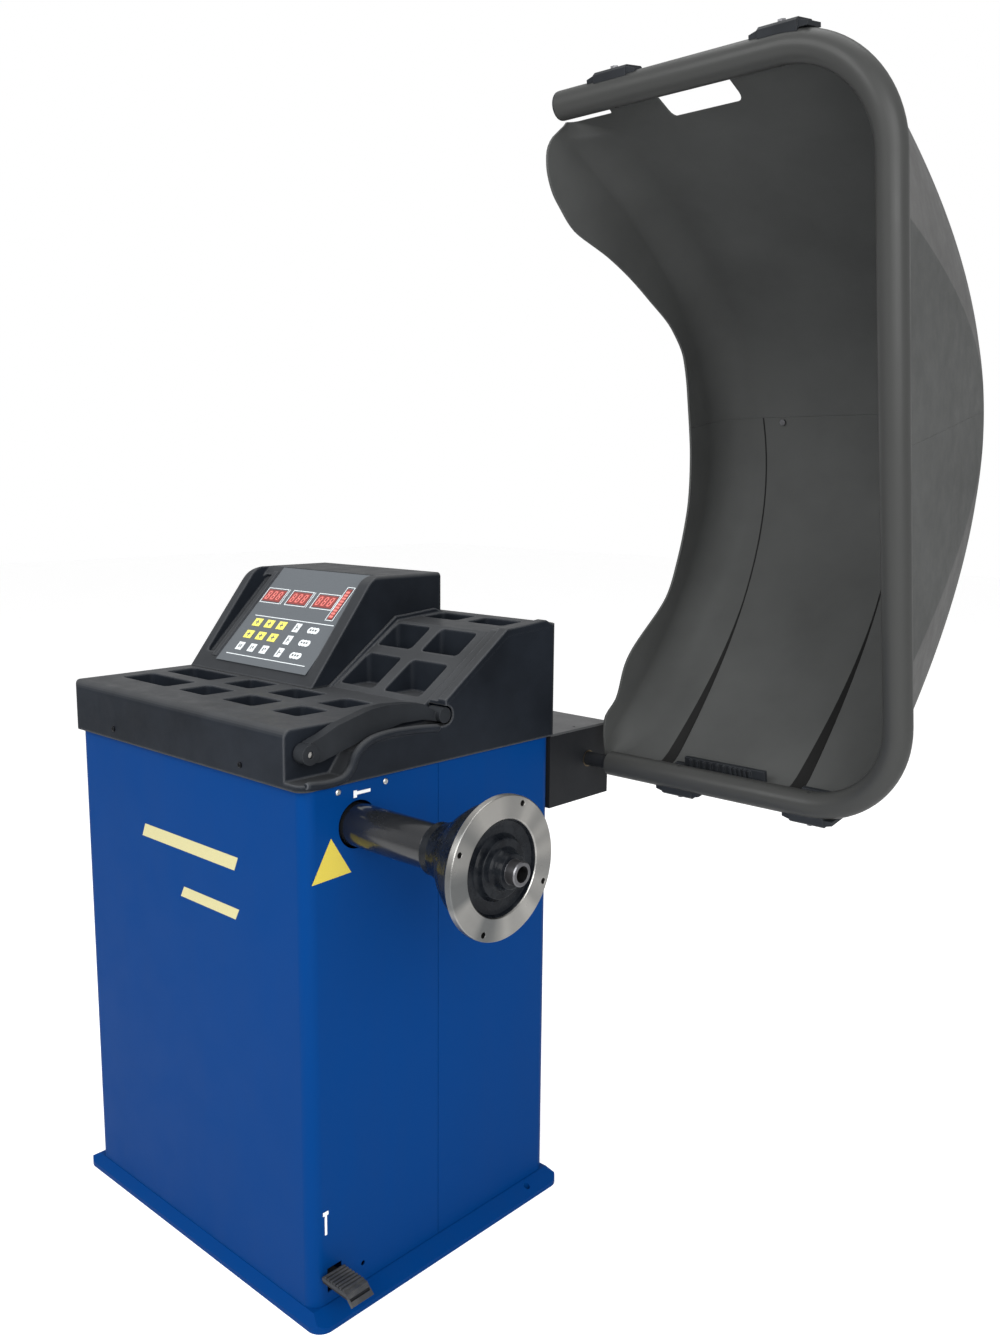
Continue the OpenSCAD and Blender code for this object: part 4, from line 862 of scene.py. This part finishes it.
def segment_shapes(x, s, width, height, line, out, lit):
    """Seven-segment figure; lit names its bars: a top, then clockwise, g in the middle."""
    half = height / 2
    bars = {"a": (0, height - line, width, height), "g": (0, half - line / 2, width, half + line / 2),
            "d": (0, 0, width, line), "f": (0, half, line, height), "b": (width - line, half,
                                                                        width, height),
            "e": (0, 0, line, half), "c": (width - line, 0, width, half)}
    lean = 0.16
    shapes = []
    for bar in lit:
        x0, s0, x1, s1 = bars[bar]
        outline = [(x + x0 + s0 * lean, s + s0), (x + x1 + s0 * lean, s + s0),
                   (x + x1 + s1 * lean, s + s1), (x + x0 + s1 * lean, s + s1)]
        shapes.append(prism_mesh(outline, out, panel_mm))
    return shapes


line_low, line_high = PANEL_TOP + 0.02, PANEL_TOP + 0.42
outline_shapes = []
for i in range(3):
    outline_shapes += frame_shapes(-243 + 75 * i, -183 + 75 * i, 153, 189, 1.4, (line_low, line_high))
    outline_shapes.append(box_mesh((-180 + 75 * i, 153, line_low), (-178.6 + 75 * i, 189, line_high),
                                   panel_mm))
outline_shapes += frame_shapes(-31, -10, 131, 209, 1.4, (line_low, line_high))
window_outlines = gather("window_outlines", outline_shapes)
finish_piece(window_outlines, [], "cabinet", "key_white")

digit_shapes = []
for i in range(3):
    for k in range(3):
        digit_shapes += segment_shapes(-236 + 75 * i + 16 * k, 161, 10, 20, 2.6, (2.3, 2.5), "abcdefg")
digit_shapes += [box_mesh((-25.5, 138 + 7 * i, 2.3), (-15.5, 142.5 + 7 * i, 2.5), panel_mm)
                 for i in range(9)]
digits = gather("number_segments", digit_shapes)
assign(digits, finishes["led_lit"])
finish_piece(digits, [], "cabinet", "led_red")

mark_shapes = []
for i in range(3):
    for j in range(2):
        x, s = -204 + 36 * i, 78 + 28.5 * j
        mark_shapes.append(box_mesh((x - 5, s - 1, 2.3), (x + 5, s + 1.4, 2.45), panel_mm))
        mark_shapes.append(box_mesh((x - 1.4, s - 5, 2.3), (x + 1.4, s + 5, 2.44), panel_mm))
    x = -204 + 36 * i
    mark_shapes.append(box_mesh((x - 4, 46, 2.3), (x - 1.5, 54, 2.45), panel_mm))
    mark_shapes.append(box_mesh((x + 1, 46 + 2 * i, 2.3), (x + 4, 54, 2.45), panel_mm))
for j in range(3):
    s = 49.5 + 28.5 * j
    mark_shapes.append(box_mesh((-90, s - 6, 2.3), (-87.5, s + 6, 2.45), panel_mm))
    mark_shapes.append(box_mesh((-87, s - 1.2, 2.3), (-83, s + 1.2, 2.45), panel_mm))
    for k in range(3):
        mark_shapes.append(box_mesh((-50 + 7 * k, s - 2.5, 2.3), (-45.5 + 7 * k, s + 1.5, 2.45),
                                    panel_mm))
marks = gather("key_marks", mark_shapes)
assign(marks, finishes["mark_grey"])
finish_piece(marks, [], "cabinet", "black_plastic")

# ---------------------------------------------------------------- studio

FLOOR_SIZE = 30.0


def studio_floor():
    """Plain pale floor with a faint grain."""
    size = FLOOR_SIZE / 2
    floor = mesh_object("studio_floor", [(-size, -size, 0), (size, -size, 0), (size, size, 0),
                                         (-size, size, 0)], [(0, 1, 2, 3)])
    material, tree, shader = new_material("studio_floor")
    tone = mix_colour(tree, noise(tree, 3.0, 3.0), (0.83, 0.83, 0.83), (0.87, 0.87, 0.87))
    tree.links.new(tone, shader.inputs["Base Color"])
    shader.inputs["Roughness"].default_value = 0.7
    path = tree.nodes.new("ShaderNodeLightPath")
    tree.links.new(remap(tree, path.outputs["Is Camera Ray"], 0.0, 1.0, 0.0, 0.45),
                   shader.inputs["Emission Strength"])
    shader.inputs["Emission Color"].default_value = (1.0, 1.0, 1.0, 1.0)
    assign(floor, material)


def area_light(name, place_at, target, size, power, colour=(1, 1, 1)):
    """Soft rectangular light aimed at a point."""
    data = bpy.data.lights.new(name, "AREA")
    data.shape = "RECTANGLE"
    data.size, data.size_y = size
    data.energy = power
    data.color = colour
    light = bpy.data.objects.new(name, data)
    light.location = place_at
    light.rotation_mode = "QUATERNION"
    aim = Vector(target) - Vector(place_at)
    light.rotation_quaternion = aim.to_track_quat("-Z", "Y")
    bpy.context.scene.collection.objects.link(light)


def studio_world(strength):
    """Even pale surroundings: white to the camera, dimmer as a light."""
    world = bpy.data.worlds.new("studio")
    world.use_nodes = True
    tree = world.node_tree
    background = tree.nodes["Background"]
    background.inputs["Color"].default_value = (1.0, 1.0, 1.0, 1.0)
    path = tree.nodes.new("ShaderNodeLightPath")
    level = remap(tree, path.outputs["Is Camera Ray"], 0.0, 1.0, strength, 1.0)
    tree.links.new(level, background.inputs["Strength"])
    bpy.context.scene.world = world


studio_floor()
studio_world(0.62)
area_light("key", (-0.6, -3.4, 3.0), (0.2, 0.0, 0.9), (2.6, 2.0), 95)
area_light("side", (3.2, -1.2, 2.0), (0.4, 0.4, 1.1), (1.8, 2.2), 66)
area_light("fill", (2.2, -2.0, 1.7), (0.45, 0.7, 1.35), (1.6, 1.6), 28)
area_light("top", (0.3, 0.4, 4.2), (0.3, 0.1, 0.8), (2.4, 2.4), 45)

# ---------------------------------------------------------------- camera

CAMERA_PLACE = Vector((1.6057, -1.2714, 1.2704))
CAMERA_YAW = math.radians(42.58)
CAMERA_PITCH = math.radians(9.26)
CAMERA_ROLL = math.radians(0.51)
LENS_MM = 31.88
SENSOR_MM = 36.0


def photo_camera():
    """Camera at the viewing angle of the reference view."""
    forward = Vector((-math.sin(CAMERA_YAW) * math.cos(CAMERA_PITCH),
                      math.cos(CAMERA_YAW) * math.cos(CAMERA_PITCH), -math.sin(CAMERA_PITCH)))
    level = Vector((math.cos(CAMERA_YAW), math.sin(CAMERA_YAW), 0))
    up = level.cross(forward)
    right = level * math.cos(CAMERA_ROLL) + up * math.sin(CAMERA_ROLL)
    top = up * math.cos(CAMERA_ROLL) - level * math.sin(CAMERA_ROLL)
    turn = Matrix((right, top, -forward)).transposed().to_4x4()
    data = bpy.data.cameras.new("camera")
    data.sensor_width = SENSOR_MM
    data.lens = LENS_MM
    data.clip_start = 0.05
    data.clip_end = 100.0
    camera = bpy.data.objects.new("camera", data)
    camera.matrix_world = Matrix.Translation(CAMERA_PLACE) @ turn
    bpy.context.scene.collection.objects.link(camera)
    bpy.context.scene.camera = camera


photo_camera()
bpy.context.scene.view_settings.view_transform = "Standard"

bpy.context.view_layer.update()
